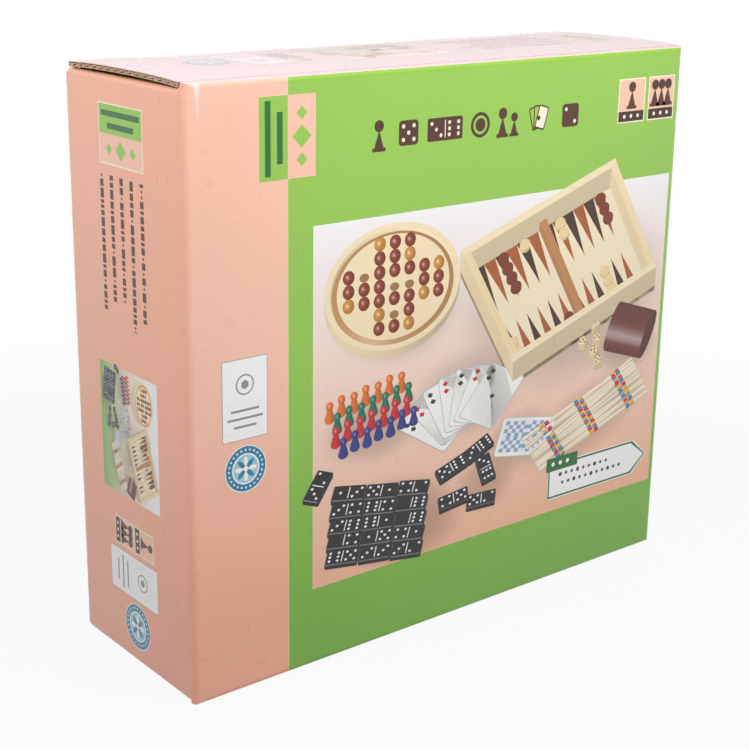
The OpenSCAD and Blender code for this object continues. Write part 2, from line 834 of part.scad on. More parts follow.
module playing_cards() {
    pitch = card_t + 0.02;
    r = card_r;
    color("ivory") in_case() for (k = [0:card_count - 1])
        translate([cards_x + piece_gap + card_l / 2, divider_y + (divider_d - card_w) / 2,
            row_2 + piece_gap + k * pitch]) rounded_slab(card_l, card_w, card_t, r);
}

front_panel();
back_panel();
left_panel();
right_panel();
glue_tab();
bottom_panel();
bottom_tuck_flap();
bottom_dust_flap_left();
bottom_dust_flap_right();
lid_panel();
tuck_flap();
dust_flap_left();
dust_flap_right();
case_base();
case_side_left();
case_side_right();
case_end_lower();
case_end_upper();
chessboard_lid();
shelves();
chess_partitions();
games_partitions();
cup_partition();
base_brads();
king_light();
queen_light();
bishops_light();
knights_light();
rooks_light();
pawns_light();
king_dark();
queen_dark();
bishops_dark();
knights_dark();
rooks_dark();
pawns_dark();
morris_board();
morris_men_light();
morris_men_dark();
pegs_orange();
pegs_green();
pegs_red();
pegs_blue();
dominoes();
mikado_sticks();
dice_cup();
wooden_dice();
playing_cards();
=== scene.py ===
import math
import random
import bmesh
import bpy
from mathutils import Matrix, Vector


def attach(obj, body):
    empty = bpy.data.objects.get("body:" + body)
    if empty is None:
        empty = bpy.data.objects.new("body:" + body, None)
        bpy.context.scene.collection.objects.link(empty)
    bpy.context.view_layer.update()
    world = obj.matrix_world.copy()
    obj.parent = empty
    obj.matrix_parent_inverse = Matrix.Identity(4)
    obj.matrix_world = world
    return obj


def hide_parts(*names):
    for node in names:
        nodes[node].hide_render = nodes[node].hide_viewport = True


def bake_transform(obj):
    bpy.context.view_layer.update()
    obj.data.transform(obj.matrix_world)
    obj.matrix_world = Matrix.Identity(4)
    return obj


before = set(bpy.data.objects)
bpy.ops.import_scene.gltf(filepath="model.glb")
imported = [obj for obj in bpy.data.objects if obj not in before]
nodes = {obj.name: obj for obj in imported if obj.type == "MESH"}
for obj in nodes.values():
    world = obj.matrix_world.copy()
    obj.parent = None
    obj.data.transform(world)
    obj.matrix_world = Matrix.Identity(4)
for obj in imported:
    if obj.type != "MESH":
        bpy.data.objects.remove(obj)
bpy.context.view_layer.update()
print("frame loaded:", len(nodes), "nodes")

mm = 0.001


# Small helpers for colours, nodes and edit mode

def toLinear(hexColour):
    text = hexColour.lstrip("#")
    parts = [int(text[i:i + 2], 16) / 255 for i in (0, 2, 4)]
    return tuple(c / 12.92 if c <= 0.04045 else ((c + 0.055) / 1.055) ** 2.4 for c in parts) + (1.0,)


def addNode(tree, kind, inputs=None, **settings):
    node = tree.nodes.new(kind)
    for name, value in settings.items():
        setattr(node, name, value)
    for socket, value in (inputs or {}).items():
        if isinstance(value, bpy.types.NodeSocket):
            tree.links.new(value, node.inputs[socket])
        else:
            node.inputs[socket].default_value = value
    return node


def newFinish(name, sockets):
    finish = bpy.data.materials.new(name)
    finish.use_nodes = True
    tree = finish.node_tree
    tree.nodes.clear()
    shader = addNode(tree, "ShaderNodeBsdfPrincipled", sockets)
    addNode(tree, "ShaderNodeOutputMaterial", {"Surface": shader.outputs["BSDF"]})
    return finish, tree, shader


def setRamp(ramp, stops):
    # stops are (place, hex) pairs; the first two replace the ramp's own
    elements = ramp.color_ramp.elements
    while len(elements) < len(stops):
        elements.new(0.5)
    for element, (place, colour) in zip(elements, stops):
        element.position = place
        element.color = toLinear(colour)


def clearSelection():
    if bpy.context.object and bpy.context.object.mode != "OBJECT":
        bpy.ops.object.mode_set(mode="OBJECT")
    bpy.ops.object.select_all(action="DESELECT")


def takeUp(piece):
    clearSelection()
    piece.select_set(True)
    bpy.context.view_layer.objects.active = piece


def addShape(kind, name, span=(1, 1, 1), at=(0, 0, 0), turn=(0, 0, 0), **settings):
    clearSelection()
    if kind in ("plane", "cube", "grid"):
        settings["size"] = 1
    getattr(bpy.ops.mesh, "primitive_" + kind + "_add")(location=at, rotation=turn, **settings)
    piece = bpy.context.object
    piece.name = name
    piece.data.name = name
    piece.scale = span
    bpy.ops.object.transform_apply(location=True, rotation=True, scale=True)
    return piece


def openEdit(piece, mode="FACE"):
    takeUp(piece)
    bpy.ops.object.mode_set(mode="EDIT")
    bpy.ops.mesh.select_mode(type=mode)
    bpy.ops.mesh.select_all(action="DESELECT")


def pick(piece, kind, test):
    # selects the verts, edges or faces that pass the test
    shape = bmesh.from_edit_mesh(piece.data)
    bpy.ops.mesh.select_mode(type={"verts": "VERT", "edges": "EDGE", "faces": "FACE"}[kind])
    bpy.ops.mesh.select_all(action="DESELECT")
    for part in getattr(shape, kind):
        part.select = bool(test(part))
    shape.select_flush_mode()
    bmesh.update_edit_mesh(piece.data)


def closeEdit():
    bpy.ops.object.mode_set(mode="OBJECT")


def finishWith(piece, kind, **settings):
    takeUp(piece)
    modifier = piece.modifiers.new(kind.title(), kind)
    for name, value in settings.items():
        setattr(modifier, name, value)
    bpy.ops.object.modifier_apply(modifier=modifier.name)


def joinUp(pieces, name):
    clearSelection()
    for piece in pieces:
        piece.select_set(True)
    bpy.context.view_layer.objects.active = pieces[0]
    if len(pieces) > 1:
        bpy.ops.object.join()
    pieces[0].name = name
    pieces[0].data.name = name
    return pieces[0]


def smoothEdges(piece, degrees=35):
    takeUp(piece)
    bpy.ops.object.shade_smooth_by_angle(angle=math.radians(degrees))


def dress(piece, finish):
    piece.data.materials.clear()
    piece.data.materials.append(finish)


# The photograph's camera

cameraSettings = {
    "place": (-0.4958, -0.5988, 0.3688),
    "azimuth": 38.963,
    "pitch": 16.286,
    "roll": 0.825,
    "lens": 72.58,
    "sensor": 36.0,
    "shiftY": -0.05,
}


def placeCamera():
    s = cameraSettings
    az, down, roll = (math.radians(s[k]) for k in ("azimuth", "pitch", "roll"))
    ahead = Vector((math.sin(az) * math.cos(down), math.cos(az) * math.cos(down), -math.sin(down)))
    side = ahead.cross(Vector((0, 0, 1))).normalized()
    up = side.cross(ahead)
    side, up = math.cos(roll) * side + math.sin(roll) * up, math.cos(roll) * up - math.sin(roll) * side
    lens = bpy.data.cameras.new("photoCamera")
    lens.lens = s["lens"]
    lens.sensor_width = s["sensor"]
    lens.shift_y = s["shiftY"]
    lens.clip_start = 0.01
    camera = bpy.data.objects.new("photoCamera", lens)
    bpy.context.scene.collection.objects.link(camera)
    turn = Matrix((side, up, -ahead)).transposed().to_4x4()
    camera.matrix_world = Matrix.Translation(s["place"]) @ turn
    bpy.context.scene.camera = camera


placeCamera()
bpy.context.scene.view_settings.view_transform = "Standard"


# Floor, surroundings and soft lamps

stageSettings = {
    "floorSize": 8.0,
    "floorColour": "#A9A8A6",
    "nearGlow": 0.93,          # share of plain white that the camera sees in the floor beside the box
    "farGlow": 1.0,
    "nearReach": 0.30,
    "farReach": 0.75,
    "surroundStrength": 0.16,
}

lampSettings = {
    # name: (place, aimed at, width, height, watts)
    "frontSoftbox": ((0.04, -0.50, 0.58), (0.02, -0.05, 0.26), 0.5, 0.24, 3.65),
    "sideSoftbox": ((-0.60, -0.04, 0.58), (-0.16, 0.0, 0.26), 0.3, 0.24, 2.5),
    "topSoftbox": ((0.0, 0.35, 1.35), (0.0, 0.0, 0.29), 1.2, 0.8, 1.8),
    "backSoftbox": ((0.80, 0.78, 0.17), (0.05, 0.03, 0.15), 0.9, 0.2, 8.0),     # below the lid, which would mirror it
}


def lightStage():
    s = stageSettings
    floor = addShape("plane", "studioFloor", span=(s["floorSize"], s["floorSize"], 1))
    finish, tree, shader = newFinish("paintedStudioFloor", {"Base Color": toLinear(s["floorColour"]), "Roughness": 0.9})
    shader.inputs["Specular IOR Level"].default_value = 0.1
    path = addNode(tree, "ShaderNodeLightPath")
    seen = addNode(tree, "ShaderNodeMath", {0: path.outputs["Is Camera Ray"], 1: path.outputs["Is Glossy Ray"]}, operation="MAXIMUM")
    seen = addNode(tree, "ShaderNodeMath", {0: seen.outputs[0], 1: path.outputs["Is Transmission Ray"]}, operation="MAXIMUM")
    reach = addNode(tree, "ShaderNodeVectorMath", {0: addNode(tree, "ShaderNodeTexCoord").outputs["Object"]}, operation="LENGTH")
    level = addNode(tree, "ShaderNodeMapRange", {"Value": reach.outputs["Value"], "From Min": s["nearReach"], "From Max": s["farReach"],
                                                 "To Min": s["nearGlow"], "To Max": s["farGlow"]}, interpolation_type="SMOOTHSTEP")
    share = addNode(tree, "ShaderNodeMath", {0: seen.outputs[0], 1: level.outputs[0]}, operation="MULTIPLY")
    glow = addNode(tree, "ShaderNodeEmission", {"Color": (1, 1, 1, 1), "Strength": 1.0})
    mixed = addNode(tree, "ShaderNodeMixShader", {0: share.outputs[0], 1: shader.outputs["BSDF"], 2: glow.outputs["Emission"]})
    output = next(n for n in tree.nodes if n.type == "OUTPUT_MATERIAL")
    tree.links.new(mixed.outputs[0], output.inputs["Surface"])
    dress(floor, finish)

    world = bpy.data.worlds.new("paleStudio")
    bpy.context.scene.world = world
    world.use_nodes = True
    tree = world.node_tree
    tree.nodes.clear()
    path = addNode(tree, "ShaderNodeLightPath")
    seen = addNode(tree, "ShaderNodeMath", {0: path.outputs["Is Camera Ray"], 1: path.outputs["Is Glossy Ray"]}, operation="MAXIMUM")
    seen = addNode(tree, "ShaderNodeMath", {0: seen.outputs[0], 1: path.outputs["Is Transmission Ray"]}, operation="MAXIMUM")
    strength = addNode(tree, "ShaderNodeMapRange", {"Value": seen.outputs[0], "To Min": s["surroundStrength"], "To Max": 1.0})
    white = addNode(tree, "ShaderNodeBackground", {"Color": (1, 1, 1, 1), "Strength": strength.outputs[0]})
    addNode(tree, "ShaderNodeOutputWorld", {"Surface": white.outputs[0]})

    for name, (place, target, width, height, watts) in lampSettings.items():
        light = bpy.data.lights.new(name, "AREA")
        light.shape = "RECTANGLE"
        light.size = width
        light.size_y = height
        light.energy = watts
        lamp = bpy.data.objects.new(name, light)
        bpy.context.scene.collection.objects.link(lamp)
        lamp.location = place
        lamp.rotation_euler = (Vector(target) - Vector(place)).to_track_quat("-Z", "Y").to_euler()
        lamp.visible_camera = False


lightStage()
print("camera and stage ready")


# Finishes of the carton

printColours = {
    # each field's colour at the top and, darker, at the bottom, where painted shade follows the light falling off lower
    # down
    "peach": ("#F7C3AD", "#F4B298"),
    # the side panel's peach is deeper than the front's: painted shade for the side turned from the light
    "peachSideShaded": ("#F6B59A", "#F1A98F"),
    "green": ("#94C451", "#7AB540"),
    # the lid's peach print, paled to lavender white by painted reflection of the bright surroundings
    "lid": "#E8C9CB",
    "rule": "#D5DC92",          # thin pale line where the two fields meet
    "worn": "#F9E3DF",
    "stripEdge": -106.2 * mm,   # the peach strip ends here on the front
    "ruleWidth": 0.22 * mm,
}


def addVarnish(tree, shader, at):
    # UV varnish on litho-laminated board: soft gloss, faint waves of the fluting and a fine orange peel
    flutes = addNode(tree, "ShaderNodeTexWave", {"Vector": at, "Scale": 1 / (6.4 * mm) / 3.2, "Distortion": 0.6, "Detail": 1.0},
                     wave_type="BANDS", bands_direction="Z", wave_profile="SIN")
    peel = addNode(tree, "ShaderNodeTexNoise", {"Vector": at, "Scale": 1 / (9 * mm), "Detail": 2.0})
    dents = addNode(tree, "ShaderNodeTexNoise", {"Vector": at, "Scale": 1 / (70 * mm), "Detail": 1.0})
    low = addNode(tree, "ShaderNodeBump", {"Height": dents.outputs["Fac"], "Strength": 0.35, "Distance": 1.2 * mm})
    middle = addNode(tree, "ShaderNodeBump", {"Height": flutes.outputs["Fac"], "Strength": 0.10, "Distance": 0.08 * mm, "Normal": low.outputs["Normal"]})
    bump = addNode(tree, "ShaderNodeBump", {"Height": peel.outputs["Fac"], "Strength": 0.18, "Distance": 0.05 * mm, "Normal": middle.outputs["Normal"]})
    tree.links.new(bump.outputs["Normal"], shader.inputs["Normal"])
    gloss = addNode(tree, "ShaderNodeMapRange", {"Value": peel.outputs["Fac"], "To Min": 0.24, "To Max": 0.34})
    tree.links.new(gloss.outputs[0], shader.inputs["Roughness"])


def makePrintedBoard():
    # Litho-laminated corrugated board: printed fields under varnish, darker towards the bottom and deeper on the side
    # panel with painted shade, the lid's peach paled with painted reflection, whitened where the folds are worn
    s = printColours
    finish, tree, shader = newFinish("varnishedPrintedBoard", {"IOR": 1.5, "Specular IOR Level": 0.35, "Coat Weight": 0.35, "Coat Roughness": 0.14})
    at = addNode(tree, "ShaderNodeTexCoord").outputs["Object"]
    axes = addNode(tree, "ShaderNodeSeparateXYZ", {0: at})
    x, y, z = (axes.outputs[i] for i in range(3))
    onStrip = addNode(tree, "ShaderNodeMath", {0: x, 1: s["stripEdge"]}, operation="LESS_THAN")
    onLid = addNode(tree, "ShaderNodeMath", {0: z, 1: 291.75 * mm}, operation="GREATER_THAN")
    peachHere = addNode(tree, "ShaderNodeMath", {0: onStrip.outputs[0], 1: onLid.outputs[0]}, operation="MAXIMUM")
    # painted shade: every field darkens towards the bottom of the box
    low = addNode(tree, "ShaderNodeMapRange", {"Value": z, "From Min": 10 * mm, "From Max": 175 * mm, "To Min": 1.0, "To Max": 0.0}, interpolation_type="SMOOTHSTEP")
    fields = [addNode(tree, "ShaderNodeMix", {0: low.outputs[0], 6: toLinear(s[field][0]), 7: toLinear(s[field][1])}, data_type="RGBA").outputs[2]
              for field in ("green", "peach", "peachSideShaded")]
    # painted shade: the side panel takes the deeper peach
    onSide = addNode(tree, "ShaderNodeMapRange", {"Value": x, "From Min": -156 * mm, "From Max": -159.5 * mm}, interpolation_type="SMOOTHSTEP")
    peach = addNode(tree, "ShaderNodeMix", {0: onSide.outputs[0], 6: fields[1], 7: fields[2]}, data_type="RGBA")
    panel = addNode(tree, "ShaderNodeMix", {0: peachHere.outputs[0], 6: fields[0], 7: peach.outputs[2]}, data_type="RGBA")
    # painted reflection: the lid takes the peach print paled towards lavender white
    field = addNode(tree, "ShaderNodeMix", {0: onLid.outputs[0], 6: panel.outputs[2], 7: toLinear(s["lid"])}, data_type="RGBA")
    offset = addNode(tree, "ShaderNodeMath", {0: x, 1: s["stripEdge"]}, operation="SUBTRACT")
    nearRule = addNode(tree, "ShaderNodeMath", {0: addNode(tree, "ShaderNodeMath", {0: offset.outputs[0]}, operation="ABSOLUTE").outputs[0], 1: s["ruleWidth"]}, operation="LESS_THAN")
    notLid = addNode(tree, "ShaderNodeMath", {0: 1.0, 1: onLid.outputs[0]}, operation="SUBTRACT")
    ruleHere = addNode(tree, "ShaderNodeMath", {0: nearRule.outputs[0], 1: notLid.outputs[0]}, operation="MULTIPLY")
    ruled = addNode(tree, "ShaderNodeMix", {0: ruleHere.outputs[0], 6: field.outputs[2], 7: toLinear(s["rule"])}, data_type="RGBA")
    # ink density drifts a little over the sheet
    cloud = addNode(tree, "ShaderNodeTexNoise", {"Vector": at, "Scale": 1 / (120 * mm), "Detail": 3.0})
    drift = addNode(tree, "ShaderNodeMapRange", {"Value": cloud.outputs["Fac"], "From Min": 0.3, "From Max": 0.7, "To Min": 0.97, "To Max": 1.03})
    inked = addNode(tree, "ShaderNodeHueSaturation", {"Color": ruled.outputs[2], "Value": drift.outputs[0]})
    # worn, whitened creases: along the upright folds near their upper ends
    fromFold = addNode(tree, "ShaderNodeMath", {0: x, 1: 153.2 * mm}, operation="ADD")
    wedge = addNode(tree, "ShaderNodeMapRange", {"Value": z, "From Min": 276 * mm, "From Max": 290 * mm, "To Min": 0.5 * mm, "To Max": 2.4 * mm})
    foldBand = addNode(tree, "ShaderNodeMapRange", {"Value": addNode(tree, "ShaderNodeMath", {0: fromFold.outputs[0]}, operation="ABSOLUTE").outputs[0],
                                                    "From Min": 0.3 * mm, "From Max": wedge.outputs[0], "To Min": 1.0, "To Max": 0.0}, interpolation_type="SMOOTHSTEP")
    height = addNode(tree, "ShaderNodeMapRange", {"Value": z, "From Min": 275 * mm, "From Max": 284 * mm, "To Min": 0.0, "To Max": 0.8}, interpolation_type="SMOOTHSTEP")
    scuff = addNode(tree, "ShaderNodeTexNoise", {"Vector": at, "Scale": 1 / (9 * mm), "Detail": 3.0})
    rub = addNode(tree, "ShaderNodeMapRange", {"Value": scuff.outputs["Fac"], "From Min": 0.25, "From Max": 0.5})
    wear = addNode(tree, "ShaderNodeMath", {0: foldBand.outputs[0], 1: height.outputs[0]}, operation="MULTIPLY")
    wear = addNode(tree, "ShaderNodeMath", {0: wear.outputs[0], 1: rub.outputs[0]}, operation="MULTIPLY")
    onFront = addNode(tree, "ShaderNodeMath", {0: y, 1: -52.5 * mm}, operation="LESS_THAN")
    wear = addNode(tree, "ShaderNodeMath", {0: wear.outputs[0], 1: onFront.outputs[0]}, operation="MULTIPLY")
    worn = addNode(tree, "ShaderNodeMix", {0: wear.outputs[0], 6: inked.outputs[0], 7: toLinear(s["worn"])}, data_type="RGBA")
    tree.links.new(worn.outputs[2], shader.inputs["Base Color"])
    addVarnish(tree, shader, at)
    # the varnish is cracked and dull where the board bends into the lid
    bend = addNode(tree, "ShaderNodeMapRange", {"Value": z, "From Min": 288.6 * mm, "From Max": 290.4 * mm}, interpolation_type="SMOOTHSTEP")
    onBend = addNode(tree, "ShaderNodeMath", {0: y, 1: -49.2 * mm}, operation="LESS_THAN")
    dull = addNode(tree, "ShaderNodeMath", {0: bend.outputs[0], 1: onBend.outputs[0]}, operation="MULTIPLY")
    for socket, dulled in (("Coat Weight", 0.0), ("Specular IOR Level", 0.05)):
        level = addNode(tree, "ShaderNodeMapRange", {"Value": dull.outputs[0], "To Min": 0.35, "To Max": dulled})
        tree.links.new(level.outputs[0], shader.inputs[socket])
    return finish


def makePrintInk():
    # the same litho print, its colours held in the piece's ink attribute
    finish, tree, shader = newFinish("lithoInkOnBoard", {"IOR": 1.5, "Specular IOR Level": 0.35, "Coat Weight": 0.35, "Coat Roughness": 0.14})
    at = addNode(tree, "ShaderNodeTexCoord").outputs["Object"]
    ink = addNode(tree, "ShaderNodeAttribute", attribute_name="ink")
    cloud = addNode(tree, "ShaderNodeTexNoise", {"Vector": at, "Scale": 1 / (120 * mm), "Detail": 3.0})
    drift = addNode(tree, "ShaderNodeMapRange", {"Value": cloud.outputs["Fac"], "From Min": 0.3, "From Max": 0.7, "To Min": 0.97, "To Max": 1.03})
    inked = addNode(tree, "ShaderNodeHueSaturation", {"Color": ink.outputs["Color"], "Value": drift.outputs[0]})
    tree.links.new(inked.outputs[0], shader.inputs["Base Color"])
    addVarnish(tree, shader, at)
    return finish


def makeKraftLiner():
    # unbleached kraft paper: matt, warm brown, with long fibres and darker specks
    finish, tree, shader = newFinish("unbleachedKraftLiner", {"Roughness": 0.82, "IOR": 1.45, "Specular IOR Level": 0.3})
    at = addNode(tree, "ShaderNodeTexCoord").outputs["Object"]
    stretched = addNode(tree, "ShaderNodeMapping", {"Vector": at, "Scale": (0.25, 1.0, 1.0)})
    fibres = addNode(tree, "ShaderNodeTexNoise", {"Vector": stretched.outputs[0], "Scale": 1 / (0.8 * mm), "Detail": 5.0, "Roughness": 0.65})
    ramp = addNode(tree, "ShaderNodeValToRGB", {"Fac": fibres.outputs["Fac"]})
    setRamp(ramp, [(0.3, "#A9855F"), (0.5, "#BC9972"), (0.72, "#CAAB86")])
    specks = addNode(tree, "ShaderNodeTexNoise", {"Vector": at, "Scale": 1 / (4 * mm), "Detail": 2.0})
    dark = addNode(tree, "ShaderNodeMapRange", {"Value": specks.outputs["Fac"], "From Min": 0.66, "From Max": 0.74, "To Min": 0.0, "To Max": 0.4})
    flecked = addNode(tree, "ShaderNodeMix", {0: dark.outputs[0], 6: ramp.outputs[0], 7: toLinear("#7C5836")}, data_type="RGBA")
    tree.links.new(flecked.outputs[2], shader.inputs["Base Color"])
    bump = addNode(tree, "ShaderNodeBump", {"Height": fibres.outputs["Fac"], "Strength": 0.3, "Distance": 0.06 * mm})
    tree.links.new(bump.outputs["Normal"], shader.inputs["Normal"])
    return finish


def makeRawBoardEdge():
    # cut edge of corrugated board: torn brown fibre, with painted shade darkening its hollows
    finish, tree, shader = newFinish("cutBoardEdge", {"Roughness": 0.95, "Specular IOR Level": 0.15})
    at = addNode(tree, "ShaderNodeTexCoord").outputs["Object"]
    torn = addNode(tree, "ShaderNodeTexNoise", {"Vector": at, "Scale": 1 / (0.9 * mm), "Detail": 6.0, "Roughness": 0.7})
    ramp = addNode(tree, "ShaderNodeValToRGB", {"Fac": torn.outputs["Fac"]})
    setRamp(ramp, [(0.28, "#A48672"), (0.5, "#CFB29C"), (0.75, "#E2CFBC")])
    tree.links.new(ramp.outputs[0], shader.inputs["Base Color"])
    bump = addNode(tree, "ShaderNodeBump", {"Height": torn.outputs["Fac"], "Strength": 0.6, "Distance": 0.2 * mm})
    tree.links.new(bump.outputs["Normal"], shader.inputs["Normal"])
    return finish


printedBoard = makePrintedBoard()
printInk = makePrintInk()
kraftLiner = makeKraftLiner()
rawBoardEdge = makeRawBoardEdge()
print("carton finishes ready")


# The carton's wrap: four panels folded round, with the folds that lead to the flaps

wrapSettings = {
    "width": 319.5 * mm,        # print relief stands 0.25 mm proud of this skin
    "depth": 107.5 * mm,
    "board": 2.3 * mm,
    "cornerRadius": 4.6 * mm,   # upright corners
    "foldRadius": 2.6 * mm,     # folds of the front to lid and bottom
    "sideFold": 2.5 * mm,
    "steps": 8,
    "top": 292.6 * mm,
    "sideTop": 287.1 * mm,      # where the sides' folds to the dust flaps start
    "backTop": 290.4 * mm,
    "sideBottom": 2.55 * mm,
    "backBottom": 0.3 * mm,
}


def foldDrop(inward):
    # how far a front fold lies below its top, at a distance in from the front face
    r = wrapSettings["foldRadius"]
    return r - math.sqrt(max(0.0, r * r - (r - min(inward, r)) ** 2))


def rollFold(piece, level, way):
    # rolls the selected front edge inwards in steps that match the rounded corners
    s = wrapSettings
    halfX, halfY, r = s["width"] / 2, s["depth"] / 2, s["cornerRadius"]
    before = 0.0
    for step in range(1, s["steps"] + 1):
        angle = math.radians(90 * step / s["steps"])
        inward = r * (1 - math.cos(angle))
        bpy.ops.mesh.extrude_edges_move(TRANSFORM_OT_translate={"value": (0, inward - before, way * (foldDrop(before) - foldDrop(inward)))})
        shape = bmesh.from_edit_mesh(piece.data)
        for v in shape.verts:
            if v.select:
                v.co.x = math.copysign(halfX - r + r * math.sin(angle), v.co.x)
        bmesh.update_edit_mesh(piece.data)
        before = inward


def makeWrap():
    s = wrapSettings
    halfX, halfY, r = s["width"] / 2, s["depth"] / 2, s["cornerRadius"]
    flatX, flatY = halfX - r, halfY - r
    frontTop, frontBottom = s["top"] - s["foldRadius"], s["foldRadius"]
    tiny = 0.02 * mm
    wrap = addShape("plane", "cartonWrap", span=(s["width"], s["depth"], 1), at=(0, 0, s["sideBottom"]))
    openEdit(wrap, "VERT")
    bpy.ops.mesh.select_all(action="SELECT")
    bpy.ops.mesh.bevel(affect="VERTICES", offset=r, segments=s["steps"], profile=0.5)
    pick(wrap, "faces", lambda f: True)
    bpy.ops.mesh.delete(type="ONLY_FACE")
    # the tube, in rows, so that light and wear have something to follow
    rows = 14
    rise = (s["sideTop"] - s["sideBottom"]) / rows
    for row in range(rows):
        level = s["sideBottom"] + row * rise
        pick(wrap, "edges", lambda e: all(abs(v.co.z - level) < tiny for v in e.verts))
        bpy.ops.mesh.extrude_region_move(TRANSFORM_OT_translate={"value": (0, 0, rise)})

    def raiseRim(level, test, shift):
        pick(wrap, "edges", lambda e: all(abs(v.co.z - level) < tiny and test(v.co) for v in e.verts))
        bpy.ops.mesh.extrude_region_move(TRANSFORM_OT_translate={"value": (0, 0, shift)})

    onFront = lambda c: c.y < -flatY + tiny
    onBack = lambda c: c.y > halfY - tiny
    raiseRim(s["sideTop"], onFront, frontTop - s["sideTop"])
    raiseRim(s["sideBottom"], onFront, frontBottom - s["sideBottom"])
    raiseRim(s["sideTop"], onBack, s["backTop"] - s["sideTop"])
    raiseRim(s["sideBottom"], onBack, s["backBottom"] - s["sideBottom"])
    # the front corners run up to the lid and down to the bottom in the folds' own curve
    for level, edge, way in ((frontTop, s["top"], 1), (frontBottom, 0.0, -1)):
        shape = bmesh.from_edit_mesh(wrap.data)
        for v in shape.verts:
            if abs(v.co.z - level) < tiny and v.co.y < tiny - flatY and abs(v.co.x) > flatX + tiny:
                v.co.z = edge - way * foldDrop(v.co.y + halfY)
        bmesh.update_edit_mesh(wrap.data)
    pick(wrap, "edges", lambda e: all(abs(v.co.z - frontBottom) < tiny and v.co.y < tiny - halfY for v in e.verts))
    rollFold(wrap, frontBottom, -1)
    # the side panels fold under the bottom
    bend = s["sideFold"]
    for side in (-1, 1):
        level = s["sideBottom"]
        pick(wrap, "edges", lambda e: all(abs(v.co.z - level) < tiny and side * v.co.x > halfX - tiny for v in e.verts))
        bpy.ops.mesh.spin(steps=s["steps"], angle=math.radians(-90) * side, center=(side * (halfX - bend), 0, level), axis=(0, 1, 0))
    bpy.ops.mesh.select_all(action="SELECT")
    bpy.ops.mesh.remove_doubles(threshold=0.02 * mm)
    bpy.ops.mesh.normals_make_consistent(inside=False)
    closeEdit()
    for finish in (printedBoard, kraftLiner, rawBoardEdge):
        wrap.data.materials.append(finish)
    finishWith(wrap, "SOLIDIFY", thickness=s["board"], offset=-1, material_offset=1, material_offset_rim=2, use_even_offset=True)
    smoothEdges(wrap, 40)
    return wrap


wrap = makeWrap()
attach(wrap, "carton")
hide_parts("front_panel", "back_panel", "left_panel", "right_panel")
print("wrap ready:", len(wrap.data.vertices), "points")


# Corrugated flaps: an outer and an inner liner with a waved sheet between them

boardSettings = {
    "thick": 2.4 * mm,
    "liner": 0.36 * mm,
    "medium": 0.30 * mm,        # the waved sheet's own thickness
    "pitch": 6.4 * mm,          # one full wave
}


def makeBoard(name, spanX, spanY, outerFinish, rows=24):
    # lies flat with its printed face up at z 0; its waves follow one another along Y, so they show at the X ends
    s = boardSettings
    inner = s["thick"] - 2 * s["liner"]
    skins = []
    for label, level, faces in (("Outer", 0.0, (outerFinish, kraftLiner, rawBoardEdge)), ("Inner", -s["thick"] + s["liner"], (kraftLiner, kraftLiner, rawBoardEdge))):
        skin = addShape("grid", name + label, span=(spanX, spanY, 1), at=(0, 0, level), x_subdivisions=4, y_subdivisions=rows)
        for finish in faces:
            skin.data.materials.append(finish)
        finishWith(skin, "SOLIDIFY", thickness=s["liner"], offset=-1, material_offset=1, material_offset_rim=2)
        skins.append(skin)
    half = max(2, 2 * round(spanY / s["pitch"]))
    wave = addShape("grid", name + "Wave", span=(spanX, spanY, 1), at=(0, 0, -s["thick"] / 2), x_subdivisions=2, y_subdivisions=half)
    step = spanY / half
    swing = (inner - s["medium"]) / 2 * 1.5     # smoothing takes a third off
    for odd, way in ((0, 1), (1, -1)):
        openEdit(wave, "VERT")
        pick(wave, "verts", lambda v: round((v.co.y + spanY / 2) / step) % 2 == odd)
        bpy.ops.transform.translate(value=(0, 0, way * swing))
        closeEdit()
    wave.data.materials.append(kraftLiner)
    wave.data.materials.append(rawBoardEdge)
    finishWith(wave, "SUBSURF", levels=2, render_levels=2)
    finishWith(wave, "SOLIDIFY", thickness=s["medium"], offset=0, material_offset_rim=1)
    # the die crushes the board along its long cut edges, which closes them
    for side in (-1, 1):
        lip = addShape("cube", name + "Lip", span=(spanX, 0.5 * mm, inner), at=(0, side * (spanY / 2 - 0.25 * mm), -s["thick"] / 2))
        lip.data.materials.append(rawBoardEdge)
        skins.append(lip)
    # torn fibre closes the waves' open ends a little way in
    for side in (-1, 1):
        plug = addShape("grid", name + "Plug", span=(inner, spanY, 1), at=(side * (spanX / 2 - 0.9 * mm), 0, -s["thick"] / 2), turn=(0, math.radians(90), 0),
                        x_subdivisions=1, y_subdivisions=rows)
        plug.data.materials.append(rawBoardEdge)
        finishWith(plug, "SOLIDIFY", thickness=0.3 * mm, offset=0)
        skins.append(plug)
    return joinUp(skins + [wave], name)


def turnBoard(board, turn, place):
    takeUp(board)
    board.rotation_euler = tuple(math.radians(a) for a in turn)
    board.location = place
    bpy.ops.object.transform_apply(location=True, rotation=True, scale=True)


lidSettings = {
    "width": 319.6 * mm,
    "front": -49.15 * mm,
    "back": 47.1 * mm,
    "edgeLevel": 291.2 * mm,
    "bow": 2.7 * mm,            # the lid arches up between its folds
    "bowReach": 56 * mm,
    "foldLevel": 292.6 * mm,
}


def makeLid():
    s = lidSettings
    lid = makeBoard("lidBoard", s["width"], s["back"] - s["front"], printedBoard)
    middle = (s["front"] + s["back"]) / 2
    turnBoard(lid, (0, 0, 0), (0, middle, s["edgeLevel"]))
    openEdit(lid, "VERT")
    pick(lid, "verts", lambda v: abs(v.co.y - middle) < 2.1 * mm)
    bpy.ops.transform.translate(value=(0, 0, s["bow"]), use_proportional_edit=True, proportional_edit_falloff="SPHERE", proportional_size=s["bowReach"])
    closeEdit()
    smoothEdges(lid, 30)
    return lid


lid = makeLid()
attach(lid, "lid")
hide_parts("lid_panel")
print("lid ready")


